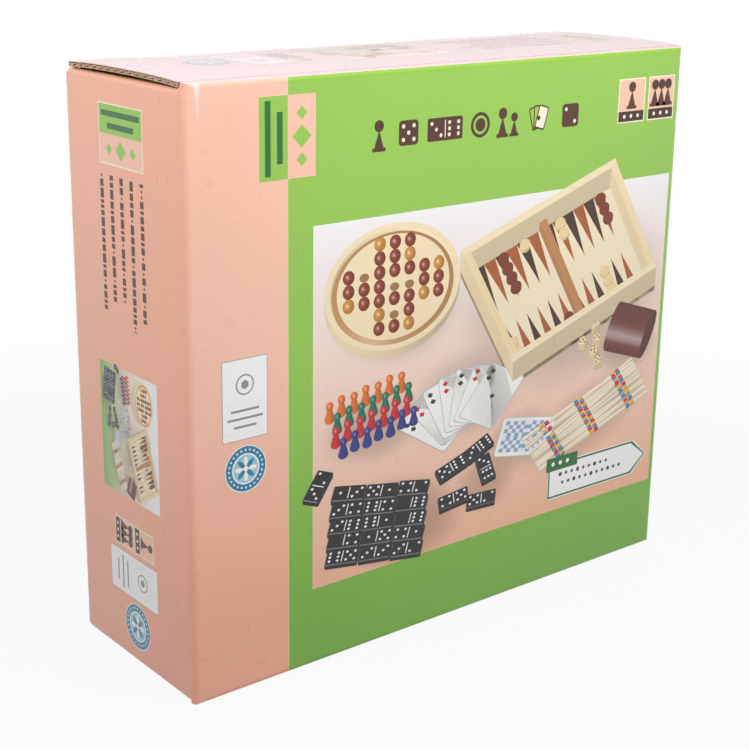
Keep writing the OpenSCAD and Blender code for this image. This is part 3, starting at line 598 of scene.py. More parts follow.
def makeFoldSolid(strip, inside):
    # gives a bent strip its thickness away from its printed side
    for finish in (printedBoard, kraftLiner, rawBoardEdge):
        strip.data.materials.append(finish)
    face = strip.data.polygons[0]
    if face.normal.dot(face.center - inside) < 0:
        strip.data.flip_normals()
    finishWith(strip, "SOLIDIFY", thickness=wrapSettings["board"], offset=-1, material_offset=1, material_offset_rim=2)
    smoothEdges(strip, 40)
    return strip


def makeFrontFold():
    # the printed sheet bends here from the front panel into the lid, and this strip rounds the edge between them
    s = wrapSettings
    halfX, halfY, r = s["width"] / 2, s["depth"] / 2, s["cornerRadius"]
    level = s["top"] - s["foldRadius"]
    strip = addShape("plane", "frontFold", span=(2 * (halfX - r), 1 * mm, 1), at=(0, -halfY + 0.5 * mm, level))
    openEdit(strip, "EDGE")
    pick(strip, "verts", lambda v: v.co.y > 0.5 * mm - halfY)
    bpy.ops.mesh.delete(type="VERT")
    pick(strip, "edges", lambda e: True)
    rollFold(strip, level, 1)
    pick(strip, "faces", lambda f: True)
    bpy.ops.mesh.normals_make_consistent(inside=False)
    closeEdit()
    return makeFoldSolid(strip, Vector((0, -halfY + 3 * r, level - 3 * r)))


frontFold = makeFrontFold()
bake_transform(frontFold)


def makeRolledFold(name, span, at, outer, centre, axis, angle):
    # a straight edge rolled through a right angle
    strip = addShape("plane", name, span=span, at=at)
    openEdit(strip, "VERT")
    pick(strip, "verts", outer)
    bpy.ops.mesh.delete(type="VERT")
    pick(strip, "edges", lambda e: True)
    bpy.ops.mesh.spin(steps=8, angle=math.radians(angle), center=centre, axis=axis)
    pick(strip, "faces", lambda f: True)
    bpy.ops.mesh.normals_make_consistent(inside=False)
    closeEdit()
    return makeFoldSolid(strip, Vector(centre))


def makeBackFold():
    # the lid's far edge turns down into its tuck flap
    back, level, radius, half = lidSettings["back"], lidSettings["foldLevel"], 3.6 * mm, 0.5 * mm
    return makeRolledFold("lidBackFold", (306 * mm, 1 * mm, 1), (0, back + half, level), lambda v: v.co.y > back + half, (0, back, level - radius), (1, 0, 0), 90)


def makeSideFold(side):
    # a side panel's upper edge turns in towards its dust flap
    s = wrapSettings
    edge, level, half = s["width"] / 2, s["sideTop"], 0.5 * mm
    span = (1 * mm, s["depth"] - 2 * s["cornerRadius"], 1)
    return makeRolledFold("sideFoldLeft" if side < 0 else "sideFoldRight", span, (side * (edge + half), 0, level), lambda v: abs(v.co.x) > edge + half,
                          (side * (edge - s["sideFold"]), 0, level), (0, 1, 0), 90 * side)


backFold = makeBackFold()
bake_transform(backFold)
for side, body in ((-1, "dust_left"), (1, "dust_right")):
    sideFold = makeSideFold(side)
    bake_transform(sideFold)

flapSettings = {
    "tuckWidth": 306 * mm,
    "tuckFrom": 288.7 * mm,
    "tuckTip": 276.4 * mm,
    "tuckLean": 9.2,            # degrees inwards
    "tuckCorner": 9 * mm,
    "dustTop": 289.6 * mm,
    "dustFrom": 2.75 * mm,      # in from the side face
    "dustTo": 85 * mm,
    "dustFront": -47.5 * mm,
    "dustBack": 43 * mm,
    "dustCorner": 10 * mm,
    "dustTaper": 20.0,          # degrees on the front edge
    "bottomBack": 47.1 * mm,
}


def trimBoard(board, at, way):
    # a straight cut across a flat board; way points at the part that falls off
    openEdit(board, "FACE")
    bpy.ops.mesh.select_all(action="SELECT")
    bpy.ops.mesh.bisect(plane_co=(at[0], at[1], 0), plane_no=(way[0], way[1], 0), use_fill=True, clear_outer=True)
    shape = bmesh.from_edit_mesh(board.data)
    raw = board.data.materials.find(rawBoardEdge.name)
    for face in shape.faces:
        if face.normal.x * way[0] + face.normal.y * way[1] > 0.99:
            face.material_index = raw
    bmesh.update_edit_mesh(board.data)
    closeEdit()


def roundCorner(board, corner, ways, radius, cuts=4):
    # takes off an outer corner in short straight cuts; ways are the signs of the corner's two directions
    centre = (corner[0] - ways[0] * radius, corner[1] - ways[1] * radius)
    for cut in range(cuts):
        angle = math.radians(90 * (cut + 0.5) / cuts)
        way = (ways[0] * math.cos(angle), ways[1] * math.sin(angle))
        trimBoard(board, (centre[0] + way[0] * radius, centre[1] + way[1] * radius), way)


def makeTuck():
    s = flapSettings
    long = (s["tuckFrom"] - s["tuckTip"]) / math.cos(math.radians(s["tuckLean"]))
    tuck = makeBoard("tuckBoard", s["tuckWidth"], long, printedBoard, rows=6)
    for side in (-1, 1):
        roundCorner(tuck, (side * s["tuckWidth"] / 2, long / 2), (side, 1), s["tuckCorner"])
    # upright, printed face to the back, its top under the back fold
    turnBoard(tuck, (-90, 0, 0), (0, 0, 0))
    turnBoard(tuck, (-s["tuckLean"], 0, 0), (0, 50.65 * mm - long / 2 * math.sin(math.radians(s["tuckLean"])), (s["tuckFrom"] + s["tuckTip"]) / 2))
    smoothEdges(tuck, 30)
    return tuck


tuck = makeTuck()
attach(tuck, "tuck")
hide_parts("tuck_flap")


def makeDustFlap(side):
    s = flapSettings
    span = s["dustTo"] - s["dustFrom"]
    wide = s["dustBack"] - s["dustFront"]
    name = "dustFlapLeft" if side < 0 else "dustFlapRight"
    flap = makeBoard(name, wide, span, kraftLiner, rows=10)
    turnBoard(flap, (0, 0, 90), (side * (160 * mm - s["dustFrom"] - span / 2), (s["dustBack"] + s["dustFront"]) / 2, s["dustTop"]))
    slope = math.radians(s["dustTaper"])
    trimBoard(flap, (side * (160 * mm - s["dustFrom"]), s["dustFront"] + 0.2 * mm), (-side * math.sin(slope), -math.cos(slope)))
    roundCorner(flap, (side * (160 * mm - s["dustTo"]), s["dustBack"]), (-side, 1), s["dustCorner"])
    smoothEdges(flap, 30)
    return flap


dustLeft = makeDustFlap(-1)
dustRight = makeDustFlap(1)
for flap, body, node in ((dustLeft, "dust_left", "dust_flap_left"), (dustRight, "dust_right", "dust_flap_right")):
    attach(flap, body)
    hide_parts(node)


def makeBottom():
    s = lidSettings
    bottom = makeBoard("bottomBoard", 314.2 * mm, s["back"] - s["front"], printedBoard)
    turnBoard(bottom, (180, 0, 0), (0, (s["front"] + s["back"]) / 2, 0.0))
    smoothEdges(bottom, 30)
    return bottom


bottom = makeBottom()
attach(bottom, "carton")
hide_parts("bottom_panel")
print("flaps ready")


# Finishes of the games inside

def makeWood(name, colours, along, ringPitch, rough, coat=0.0, wavy=7.0):
    # planed wood: growth rings stretched along the grain, fine pores, a little sheen across them
    finish, tree, shader = newFinish(name, {"IOR": 1.5, "Coat Weight": coat, "Coat Roughness": 0.18})
    at = addNode(tree, "ShaderNodeTexCoord").outputs["Object"]
    squash = tuple(0.06 if axis == along else 1.0 for axis in "XYZ")
    grain = addNode(tree, "ShaderNodeMapping", {"Vector": at, "Scale": squash})
    rings = addNode(tree, "ShaderNodeTexWave", {"Vector": grain.outputs[0], "Scale": 1 / ringPitch / 3.2, "Distortion": wavy, "Detail": 3.0, "Detail Scale": 0.35},
                    wave_type="BANDS", bands_direction="DIAGONAL", wave_profile="SAW")
    pores = addNode(tree, "ShaderNodeTexNoise", {"Vector": grain.outputs[0], "Scale": 1 / (0.7 * mm), "Detail": 4.0})
    mixed = addNode(tree, "ShaderNodeMix", {0: 0.35, 2: rings.outputs["Fac"], 3: pores.outputs["Fac"]}, data_type="FLOAT")
    ramp = addNode(tree, "ShaderNodeValToRGB", {"Fac": mixed.outputs[0]})
    setRamp(ramp, [(0.2, colours[0]), (0.5, colours[1]), (0.85, colours[2])])
    tree.links.new(ramp.outputs[0], shader.inputs["Base Color"])
    dull = addNode(tree, "ShaderNodeMapRange", {"Value": pores.outputs["Fac"], "To Min": rough - 0.08, "To Max": rough + 0.08})
    tree.links.new(dull.outputs[0], shader.inputs["Roughness"])
    bump = addNode(tree, "ShaderNodeBump", {"Height": mixed.outputs[0], "Strength": 0.25, "Distance": 0.1 * mm})
    tree.links.new(bump.outputs["Normal"], shader.inputs["Normal"])
    return finish, tree, shader, ramp


def makePaint(name, colour, rough=0.3, coat=0.6):
    # dipped paint on turned wood: even colour with slight runs and a hard gloss
    finish, tree, shader = newFinish(name, {"IOR": 1.5, "Coat Weight": coat, "Coat Roughness": 0.08})
    at = addNode(tree, "ShaderNodeTexCoord").outputs["Object"]
    runs = addNode(tree, "ShaderNodeTexNoise", {"Vector": at, "Scale": 1 / (5 * mm), "Detail": 3.0})
    tone = addNode(tree, "ShaderNodeMapRange", {"Value": runs.outputs["Fac"], "From Min": 0.3, "From Max": 0.7, "To Min": 0.9, "To Max": 1.08})
    painted = addNode(tree, "ShaderNodeHueSaturation", {"Color": toLinear(colour), "Value": tone.outputs[0]})
    tree.links.new(painted.outputs[0], shader.inputs["Base Color"])
    dull = addNode(tree, "ShaderNodeMapRange", {"Value": runs.outputs["Fac"], "To Min": rough - 0.06, "To Max": rough + 0.06})
    tree.links.new(dull.outputs[0], shader.inputs["Roughness"])
    bump = addNode(tree, "ShaderNodeBump", {"Height": runs.outputs["Fac"], "Strength": 0.15, "Distance": 0.1 * mm})
    tree.links.new(bump.outputs["Normal"], shader.inputs["Normal"])
    return finish, tree, shader, painted


woods = {
    # name: (dark, middle, light, grain along, ring pitch, roughness, coat)
    "planedPineAlongX": ("#CFA568", "#E2C08A", "#EBD1A3", "X", 13 * mm, 0.5, 0.1),
    "planedPineAlongZ": ("#CFA568", "#E2C08A", "#EBD1A3", "Z", 13 * mm, 0.5, 0.1),
    "poplarPlywood": ("#CFAF7C", "#DDC194", "#E8D3AC", "Z", 9 * mm, 0.6, 0.0),
    "turnedBeech": ("#D6A871", "#E6C08C", "#F0D3A6", "Z", 2 * mm, 0.42, 0.3),
    "stainedBeech": ("#5E2A12", "#83401C", "#A15A2B", "Z", 2 * mm, 0.35, 0.5),
}
woodFinishes = {}
for name, (dark, middle, light, along, pitch, rough, coat) in woods.items():
    woodFinishes[name] = makeWood(name, (dark, middle, light), along, pitch, rough, coat)[0]
orangePaint, greenPaint, redPaint, bluePaint = (makePaint(name, colour)[0] for name, colour in (
    ("orangeDippedPaint", "#E8782B"), ("greenDippedPaint", "#1E7A55"), ("redDippedPaint", "#CC2C2E"), ("blueDippedPaint", "#2B3A86")))


def pickAxis(tree, at):
    axes = addNode(tree, "ShaderNodeSeparateXYZ", {0: at})
    return axes.outputs[0], axes.outputs[1], axes.outputs[2]


def reckon(tree, operation, a, b=0.0):
    return addNode(tree, "ShaderNodeMath", {0: a, 1: b}, operation=operation).outputs[0]


boardPrints = {
    "chessMiddle": (-0.7 * mm, 149.0 * mm),
    "square": 27 * mm,
    "frameStrip": 6 * mm,       # stained strip round the field
    "darkSquare": "#4A2A1B",
    "paleSquare": "#EAD2A4",
    "strip": "#8A4A24",
    "morrisMiddle": (-0.7 * mm, 139.0 * mm),
    "ring": 35 * mm,
    "line": 0.7 * mm,
    "lineColour": "#3A2A20",
}


def makeChessboard():
    # plywood lid with a stained playing field under satin lacquer
    s = boardPrints
    finish, tree, shader, ramp = makeWood("lacqueredChessPly", ("#D9B67C", "#E6C893", "#F0D9AC"), "X", 6 * mm, 0.4, 0.3)
    at = addNode(tree, "ShaderNodeTexCoord").outputs["Object"]
    x, y, z = pickAxis(tree, at)
    u, v = reckon(tree, "SUBTRACT", x, s["chessMiddle"][0]), reckon(tree, "SUBTRACT", z, s["chessMiddle"][1])
    reach = reckon(tree, "MAXIMUM", reckon(tree, "ABSOLUTE", u), reckon(tree, "ABSOLUTE", v))
    column = reckon(tree, "FLOOR", reckon(tree, "DIVIDE", u, s["square"]))
    row = reckon(tree, "FLOOR", reckon(tree, "DIVIDE", v, s["square"]))
    odd = reckon(tree, "PINGPONG", reckon(tree, "ADD", column, row), 1.0)
    onFace = reckon(tree, "LESS_THAN", y, -47.5 * mm)
    inField = reckon(tree, "MULTIPLY", reckon(tree, "LESS_THAN", reach, 4 * s["square"]), onFace)
    inStrip = reckon(tree, "MULTIPLY", reckon(tree, "LESS_THAN", reach, 4 * s["square"] + s["frameStrip"]), onFace)
    squares = addNode(tree, "ShaderNodeMix", {0: odd, 6: toLinear(s["darkSquare"]), 7: toLinear(s["paleSquare"])}, data_type="RGBA")
    framed = addNode(tree, "ShaderNodeMix", {0: inStrip, 6: ramp.outputs[0], 7: toLinear(s["strip"])}, data_type="RGBA")
    field = addNode(tree, "ShaderNodeMix", {0: inField, 6: framed.outputs[2], 7: squares.outputs[2]}, data_type="RGBA")
    grained = addNode(tree, "ShaderNodeMix", {0: 0.25, 6: field.outputs[2], 7: ramp.outputs[0]}, data_type="RGBA", blend_type="MULTIPLY")
    tree.links.new(grained.outputs[2], shader.inputs["Base Color"])
    return finish


def makeMorrisBoard():
    # pale plywood with thin burnt-in lines: three squares and the four lines that join them
    s = boardPrints
    finish, tree, shader, ramp = makeWood("morrisPly", ("#DDBB86", "#E9CD9C", "#F3DFB8"), "X", 7 * mm, 0.5, 0.1)
    at = addNode(tree, "ShaderNodeTexCoord").outputs["Object"]
    x, y, z = pickAxis(tree, at)
    u = reckon(tree, "ABSOLUTE", reckon(tree, "SUBTRACT", x, s["morrisMiddle"][0]))
    v = reckon(tree, "ABSOLUTE", reckon(tree, "SUBTRACT", z, s["morrisMiddle"][1]))
    reach, narrow = reckon(tree, "MAXIMUM", u, v), reckon(tree, "MINIMUM", u, v)
    marks = None
    for count in (1, 2, 3):
        away = reckon(tree, "ABSOLUTE", reckon(tree, "SUBTRACT", reach, count * s["ring"]))
        marks = away if marks is None else reckon(tree, "MINIMUM", marks, away)
    squares = reckon(tree, "LESS_THAN", marks, s["line"] / 2)
    spokes = reckon(tree, "MULTIPLY", reckon(tree, "LESS_THAN", narrow, s["line"] / 2), reckon(tree, "GREATER_THAN", reach, s["ring"]))
    spokes = reckon(tree, "MULTIPLY", spokes, reckon(tree, "LESS_THAN", reach, 3 * s["ring"]))
    drawn = reckon(tree, "MULTIPLY", reckon(tree, "MAXIMUM", squares, spokes), reckon(tree, "LESS_THAN", y, 33.2 * mm))
    marked = addNode(tree, "ShaderNodeMix", {0: drawn, 6: ramp.outputs[0], 7: toLinear(s["lineColour"])}, data_type="RGBA")
    tree.links.new(marked.outputs[2], shader.inputs["Base Color"])
    return finish


def makeDominoLacquer():
    # black lacquered wood, its sunk pips and bars filled with white paint
    finish, tree, shader, painted = makePaint("blackDominoLacquer", "#17171A", 0.28, 0.7)
    geometry = addNode(tree, "ShaderNodeNewGeometry")
    at = addNode(tree, "ShaderNodeTexCoord").outputs["Object"]
    z = pickAxis(tree, at)[2]
    upright = reckon(tree, "GREATER_THAN", pickAxis(tree, geometry.outputs["Normal"])[2], 0.9)
    layer = reckon(tree, "FRACT", reckon(tree, "DIVIDE", reckon(tree, "SUBTRACT", z, 102.1 * mm), 7.5 * mm))
    sunk = reckon(tree, "MULTIPLY", reckon(tree, "GREATER_THAN", layer, 0.5), reckon(tree, "LESS_THAN", layer, 0.972))
    filled = addNode(tree, "ShaderNodeMix", {0: reckon(tree, "MULTIPLY", upright, sunk), 6: painted.outputs[0], 7: toLinear("#EDEBE4")}, data_type="RGBA")
    tree.links.new(filled.outputs[2], shader.inputs["Base Color"])
    return finish


def makeDiceWood():
    # waxed pale wood, its sunk pips stained dark
    finish, tree, shader, ramp = makeWood("waxedDiceWood", ("#D9B681", "#E7CB9A", "#F1DDB5"), "X", 2 * mm, 0.45, 0.2)
    geometry = addNode(tree, "ShaderNodeNewGeometry")
    at = addNode(tree, "ShaderNodeTexCoord").outputs["Object"]
    x, y, z = pickAxis(tree, at)
    u = reckon(tree, "SUBTRACT", reckon(tree, "MULTIPLY", reckon(tree, "FRACT", reckon(tree, "DIVIDE", reckon(tree, "ADD", x, 30.9 * mm), 14.1 * mm)), 14.1 * mm), 7 * mm)
    far = reckon(tree, "MAXIMUM", reckon(tree, "ABSOLUTE", u), reckon(tree, "ABSOLUTE", reckon(tree, "ADD", y, 4.4 * mm)))
    far = reckon(tree, "MAXIMUM", far, reckon(tree, "ABSOLUTE", reckon(tree, "SUBTRACT", z, 233.1 * mm)))
    nx, ny, nz = (reckon(tree, "ABSOLUTE", n) for n in pickAxis(tree, geometry.outputs["Normal"]))
    square = reckon(tree, "GREATER_THAN", reckon(tree, "MAXIMUM", reckon(tree, "MAXIMUM", nx, ny), nz), 0.999)
    sunk = reckon(tree, "MULTIPLY", reckon(tree, "LESS_THAN", far, 6.9 * mm), square)
    stained = addNode(tree, "ShaderNodeMix", {0: sunk, 6: ramp.outputs[0], 7: toLinear("#2C1C14")}, data_type="RGBA")
    tree.links.new(stained.outputs[2], shader.inputs["Base Color"])
    return finish


def makeStickWood():
    # split bamboo sticks with painted rings near the middle and the ends
    finish, tree, shader, ramp = makeWood("bandedSticks", ("#DDBE8B", "#EBD3A6", "#F4E3C2"), "X", 1.5 * mm, 0.5, 0.1)
    at = addNode(tree, "ShaderNodeTexCoord").outputs["Object"]
    x = pickAxis(tree, at)[0]
    along = addNode(tree, "ShaderNodeMapRange", {"Value": x, "From Min": -68.8 * mm, "From Max": 111.2 * mm}).outputs[0]
    bands = addNode(tree, "ShaderNodeValToRGB", {"Fac": along})
    bands.color_ramp.interpolation = "CONSTANT"
    setRamp(bands, [(0.0, "#FFFFFF"), (0.14, "#D8383C"), (0.18, "#3E9CC4"), (0.22, "#FFFFFF"), (0.47, "#F0B92E"), (0.50, "#D8383C"), (0.53, "#FFFFFF"),
                    (0.78, "#3E9CC4"), (0.82, "#D8383C"), (0.86, "#FFFFFF")])
    tinted = addNode(tree, "ShaderNodeMix", {0: 1.0, 6: ramp.outputs[0], 7: bands.outputs[0]}, data_type="RGBA", blend_type="MULTIPLY")
    tree.links.new(tinted.outputs[2], shader.inputs["Base Color"])
    return finish


def makeLeatherette():
    # embossed brown leatherette: pebbled grain of about 1 mm with a dull shine
    finish, tree, shader = newFinish("brownLeatherette", {"Base Color": toLinear("#53281F"), "IOR": 1.5, "Sheen Weight": 0.15})
    at = addNode(tree, "ShaderNodeTexCoord").outputs["Object"]
    pebbles = addNode(tree, "ShaderNodeTexVoronoi", {"Vector": at, "Scale": 1 / (1.1 * mm)}, feature="F1")
    tone = addNode(tree, "ShaderNodeValToRGB", {"Fac": pebbles.outputs["Distance"]})
    setRamp(tone, [(0.1, "#6A382B"), (0.7, "#3D1B15")])
    tree.links.new(tone.outputs[0], shader.inputs["Base Color"])
    dull = addNode(tree, "ShaderNodeMapRange", {"Value": pebbles.outputs["Distance"], "To Min": 0.38, "To Max": 0.6})
    tree.links.new(dull.outputs[0], shader.inputs["Roughness"])
    bump = addNode(tree, "ShaderNodeBump", {"Height": pebbles.outputs["Distance"], "Strength": 0.5, "Distance": 0.2 * mm, }, invert=True)
    tree.links.new(bump.outputs["Normal"], shader.inputs["Normal"])
    return finish


def makeCardStock():
    # coated playing-card stock: white layered edges, a small blue lattice on the top card's back
    finish, tree, shader = newFinish("coatedCardStock", {"IOR": 1.5, "Coat Weight": 0.3, "Coat Roughness": 0.25})
    at = addNode(tree, "ShaderNodeTexCoord").outputs["Object"]
    x, y, z = pickAxis(tree, at)
    leaves = addNode(tree, "ShaderNodeTexNoise", {"Vector": addNode(tree, "ShaderNodeMapping", {"Vector": at, "Scale": (0.03, 0.03, 1.0)}).outputs[0], "Scale": 1 / (0.3 * mm), "Detail": 2.0})
    edge = addNode(tree, "ShaderNodeValToRGB", {"Fac": leaves.outputs["Fac"]})
    setRamp(edge, [(0.35, "#CFCBC2"), (0.6, "#F4F2EC")])
    turned = addNode(tree, "ShaderNodeMapping", {"Vector": at, "Rotation": (0, 0, math.radians(45))})
    lattice = addNode(tree, "ShaderNodeTexChecker", {"Vector": turned.outputs[0], "Scale": 1 / (2.2 * mm), "Color1": toLinear("#5B7FB4"), "Color2": toLinear("#E9EDF4")})
    inX = reckon(tree, "LESS_THAN", reckon(tree, "ABSOLUTE", reckon(tree, "ADD", x, 6.6 * mm)), 40 * mm)
    inY = reckon(tree, "LESS_THAN", reckon(tree, "ABSOLUTE", reckon(tree, "ADD", y, 4.4 * mm)), 25 * mm)
    onTop = reckon(tree, "GREATER_THAN", z, 118.7 * mm)
    printed = reckon(tree, "MULTIPLY", reckon(tree, "MULTIPLY", inX, inY), onTop)
    card = addNode(tree, "ShaderNodeMix", {0: printed, 6: edge.outputs[0], 7: lattice.outputs["Color"]}, data_type="RGBA")
    tree.links.new(card.outputs[2], shader.inputs["Base Color"])
    dull = addNode(tree, "ShaderNodeMapRange", {"Value": leaves.outputs["Fac"], "To Min": 0.35, "To Max": 0.5})
    tree.links.new(dull.outputs[0], shader.inputs["Roughness"])
    return finish


def makeBradSteel():
    # bright steel wire of the brads, with drawing marks along it
    finish, tree, shader = newFinish("drawnSteelWire", {"Metallic": 1.0, "Base Color": toLinear("#B9B7B2")})
    at = addNode(tree, "ShaderNodeTexCoord").outputs["Object"]
    marks = addNode(tree, "ShaderNodeTexNoise", {"Vector": addNode(tree, "ShaderNodeMapping", {"Vector": at, "Scale": (1, 0.1, 1)}).outputs[0], "Scale": 1 / (0.4 * mm), "Detail": 3.0})
    tone = addNode(tree, "ShaderNodeValToRGB", {"Fac": marks.outputs["Fac"]})
    setRamp(tone, [(0.3, "#9C9A95"), (0.7, "#CBC9C4")])
    tree.links.new(tone.outputs[0], shader.inputs["Base Color"])
    dull = addNode(tree, "ShaderNodeMapRange", {"Value": marks.outputs["Fac"], "To Min": 0.25, "To Max": 0.42})
    tree.links.new(dull.outputs[0], shader.inputs["Roughness"])
    return finish


pineX, pineZ, ply = (woodFinishes[name] for name in ("planedPineAlongX", "planedPineAlongZ", "poplarPlywood"))
paleTurned, darkTurned = woodFinishes["turnedBeech"], woodFinishes["stainedBeech"]
inside = {
    "case_base": ply, "shelves": ply, "chess_partitions": ply, "games_partitions": ply, "cup_partition": ply,
    "case_side_left": pineZ, "case_side_right": pineZ, "case_end_lower": pineX, "case_end_upper": pineX,
    "chessboard_lid": makeChessboard(), "morris_board": makeMorrisBoard(), "base_brads": makeBradSteel(),
    "morris_men_light": paleTurned, "morris_men_dark": darkTurned,
    "pegs_orange": orangePaint, "pegs_green": greenPaint, "pegs_red": redPaint, "pegs_blue": bluePaint,
    "dominoes": makeDominoLacquer(), "mikado_sticks": makeStickWood(), "dice_cup": makeLeatherette(),
    "wooden_dice": makeDiceWood(), "playing_cards": makeCardStock(),
    "glue_tab": kraftLiner, "bottom_tuck_flap": kraftLiner, "bottom_dust_flap_left": kraftLiner, "bottom_dust_flap_right": kraftLiner,
}
for kind in ("king", "queen", "bishops", "knights", "rooks", "pawns"):
    inside[kind + "_light"] = paleTurned
    inside[kind + "_dark"] = darkTurned
for name, finish in inside.items():
    dress(nodes[name], finish)
print("games inside dressed:", len(inside), "nodes")


# Print work: shapes carry their colour in an attribute named ink

def paint(piece, colour, test=None):
    ink = piece.data.color_attributes.get("ink") or piece.data.color_attributes.new(name="ink", type="FLOAT_COLOR", domain="CORNER")
    shade = toLinear(colour)
    for face in piece.data.polygons:
        if test is None or test(face):
            for corner in face.loop_indices:
                ink.data[corner].color = shade
    return piece


def inked(kind, colour, span=(1, 1, 1), at=(0, 0, 0), turn=(0, 0, 0), **settings):
    # sizes and places are in millimetres of the print
    for key in ("radius", "radius1", "radius2", "depth", "major_radius", "minor_radius"):
        if key in settings:
            settings[key] *= mm
    scaled = tuple(a * mm for a in span) if kind in ("plane", "cube", "grid") else span
    piece = addShape(kind, "print", span=scaled, at=tuple(a * mm for a in at), turn=tuple(math.radians(a) for a in turn), **settings)
    return paint(piece, colour)


def copyOf(piece, at=(0, 0, 0), turn=0.0, size=1.0):
    twin = piece.copy()
    twin.data = piece.data.copy()
    bpy.context.scene.collection.objects.link(twin)
    twin.data.transform(Matrix.Translation([a * mm for a in at]) @ Matrix.Rotation(math.radians(turn), 4, "Z") @ Matrix.Scale(size, 4))
    return twin


def throwAway(piece):
    bpy.data.objects.remove(piece)


def setDown(piece, at, turn=0.0, size=1.0):
    piece.data.transform(Matrix.Translation([a * mm for a in at]) @ Matrix.Rotation(math.radians(turn), 4, "Z") @ Matrix.Scale(size, 4))
    return piece


def streak(piece, amount, seed, axis):
    # strips of slightly different tone, as grain seen from afar
    dice = random.Random(seed)
    tones = {}
    ink = piece.data.color_attributes["ink"]
    for face in piece.data.polygons:
        tone = tones.setdefault(round(face.center[axis] / (0.9 * mm)), 1 + dice.uniform(-amount, amount))
        for corner in face.loop_indices:
            c = ink.data[corner].color
            ink.data[corner].color = (c[0] * tone, c[1] * tone, c[2] * tone * tone, 1)
    return piece


def woodBlock(colour, span, at, seed, along=0):
    # a small board of the printed picture, cut into strips along its grain
    piece = inked("cube", colour, span=span, at=at)
    openEdit(piece, "EDGE")
    bpy.ops.mesh.select_all(action="SELECT")
    bpy.ops.mesh.subdivide(number_cuts=3)
    closeEdit()
    return streak(piece, 0.06, seed, 1 - along)


pictureSettings = {
    "left": 68.0,               # mm on the front panel, from its left and its top
    "top": 70.8,
    "width": 246.0,
    "height": 182.2,
    "lookDown": 48.0,           # degrees
    "squash": 0.0009,
    "paper": 0.03,              # mm above the board's skin
    "skyColour": "#F3F1F4",
    "middleColour": "#F4DACC",
    "groundColour": "#F0B89A",
}


def boxTray():
    # wooden tray with a pointed race-game field
    long, wide, wall, tall = 104, 84, 4.5, 17
    parts = [woodBlock("#E6C898", (long, wide, 3), (0, 0, 1.5), 3)]
    parts.append(inked("plane", "#F3E3C3", span=(long - 2 * wall, wide - 2 * wall, 1), at=(0, 0, 3.1)))
    point = inked("circle", "#43261A", radius=1, vertices=3, fill_type="NGON")
    point.data.transform(Matrix.Diagonal((4.1, 21, 1, 1)))
    for side in (-1, 1):
        for k in range(12):
            x = (-42.2 + k * 7.15) + (2.4 if k > 5 else -0.2)
            tip = copyOf(point, (x, side * (wide / 2 - wall - 10.4), 3.2), 0 if side < 0 else 180)
            paint(tip, "#43261A" if (k + side) % 2 else "#A65A2E")
            parts.append(tip)
    throwAway(point)
    parts.append(woodBlock("#B98450", (4.5, wide - 2 * wall, 6), (0, 0, 6), 5, along=1))
    for side in (-1, 1):
        parts.append(woodBlock("#F5E2BE", (long, wall, tall), (0, side * (wide - wall) / 2, tall / 2), 7 + side))
        parts.append(woodBlock("#F0D9B0", (wall, wide - 2 * wall, tall), (side * (long - wall) / 2, 0, tall / 2), 11 + side, along=1))
    pale = inked("cylinder", "#EBD2A2", radius=3.4, depth=2.0, vertices=20)
    dark = inked("cylinder", "#7A3419", radius=3.4, depth=2.0, vertices=20)
    spots = [(-42.4, -34, 0), (-42.4, -27, 0), (-42.4, -20, 0), (-28, 33, 1), (-28, 26, 1), (-28, 19, 1), (-28, 12, 1), (-6.6, -34, 1), (-6.6, -27, 1),
             (10.4, 33, 0), (10.4, 26, 0), (24.7, -34, 0), (24.7, -27, 0), (24.7, -20, 0), (24.7, -13, 0), (39, 33, 1), (39, 26, 1), (39, 19, 1), (-13.7, 33, 0), (31.8, -34, 1)]
    for x, y, tone in spots:
        parts.append(copyOf(dark if tone else pale, (x, y, 4.2)))
    throwAway(pale)
    throwAway(dark)
    return joinUp(parts, "tray")


def marbleBoard():
    # round board with a turned rim and glass marbles in a cross
    disc = inked("cylinder", "#F4E0BA", radius=38, depth=5, vertices=64, at=(0, 0, 2.5))
    openEdit(disc, "FACE")
    pick(disc, "faces", lambda f: f.normal.z > 0.9)
    bpy.ops.mesh.inset(thickness=3.2 * mm)
    bpy.ops.mesh.inset(thickness=0.7 * mm)
    bpy.ops.transform.translate(value=(0, 0, -1.4 * mm))
    bpy.ops.mesh.inset(thickness=2.6 * mm)
    bpy.ops.transform.translate(value=(0, 0, 1.2 * mm))
    closeEdit()
    paint(disc, "#B98A55", lambda f: abs(f.normal.z) > 0.5 and 31.4 * mm < f.center.xy.length < 35 * mm)
    parts = [disc]
    marble = inked("uv_sphere", "#8A3418", radius=3.2, segments=16, ring_count=10)
    smoothEdges(marble, 80)
    hollow = inked("circle", "#9B7445", radius=2.6, vertices=16, fill_type="NGON")
    for i in range(-3, 4):
        for j in range(-3, 4):
            if abs(i) > 1 and abs(j) > 1:
                continue
            x, y = i * 8.4, j * 8.4
            if (i, j) in ((0, 0), (1, 0), (-2, 1), (0, -2)):
                parts.append(copyOf(hollow, (x, y, 4.95)))
            else:
                twin = copyOf(marble, (x, y, 6.6))
                paint(twin, "#C98A3C" if (i + 2 * j) % 5 == 0 else "#8A3418")
                parts.append(twin)
    throwAway(marble)
    throwAway(hollow)
    return joinUp(parts, "marbleBoard")


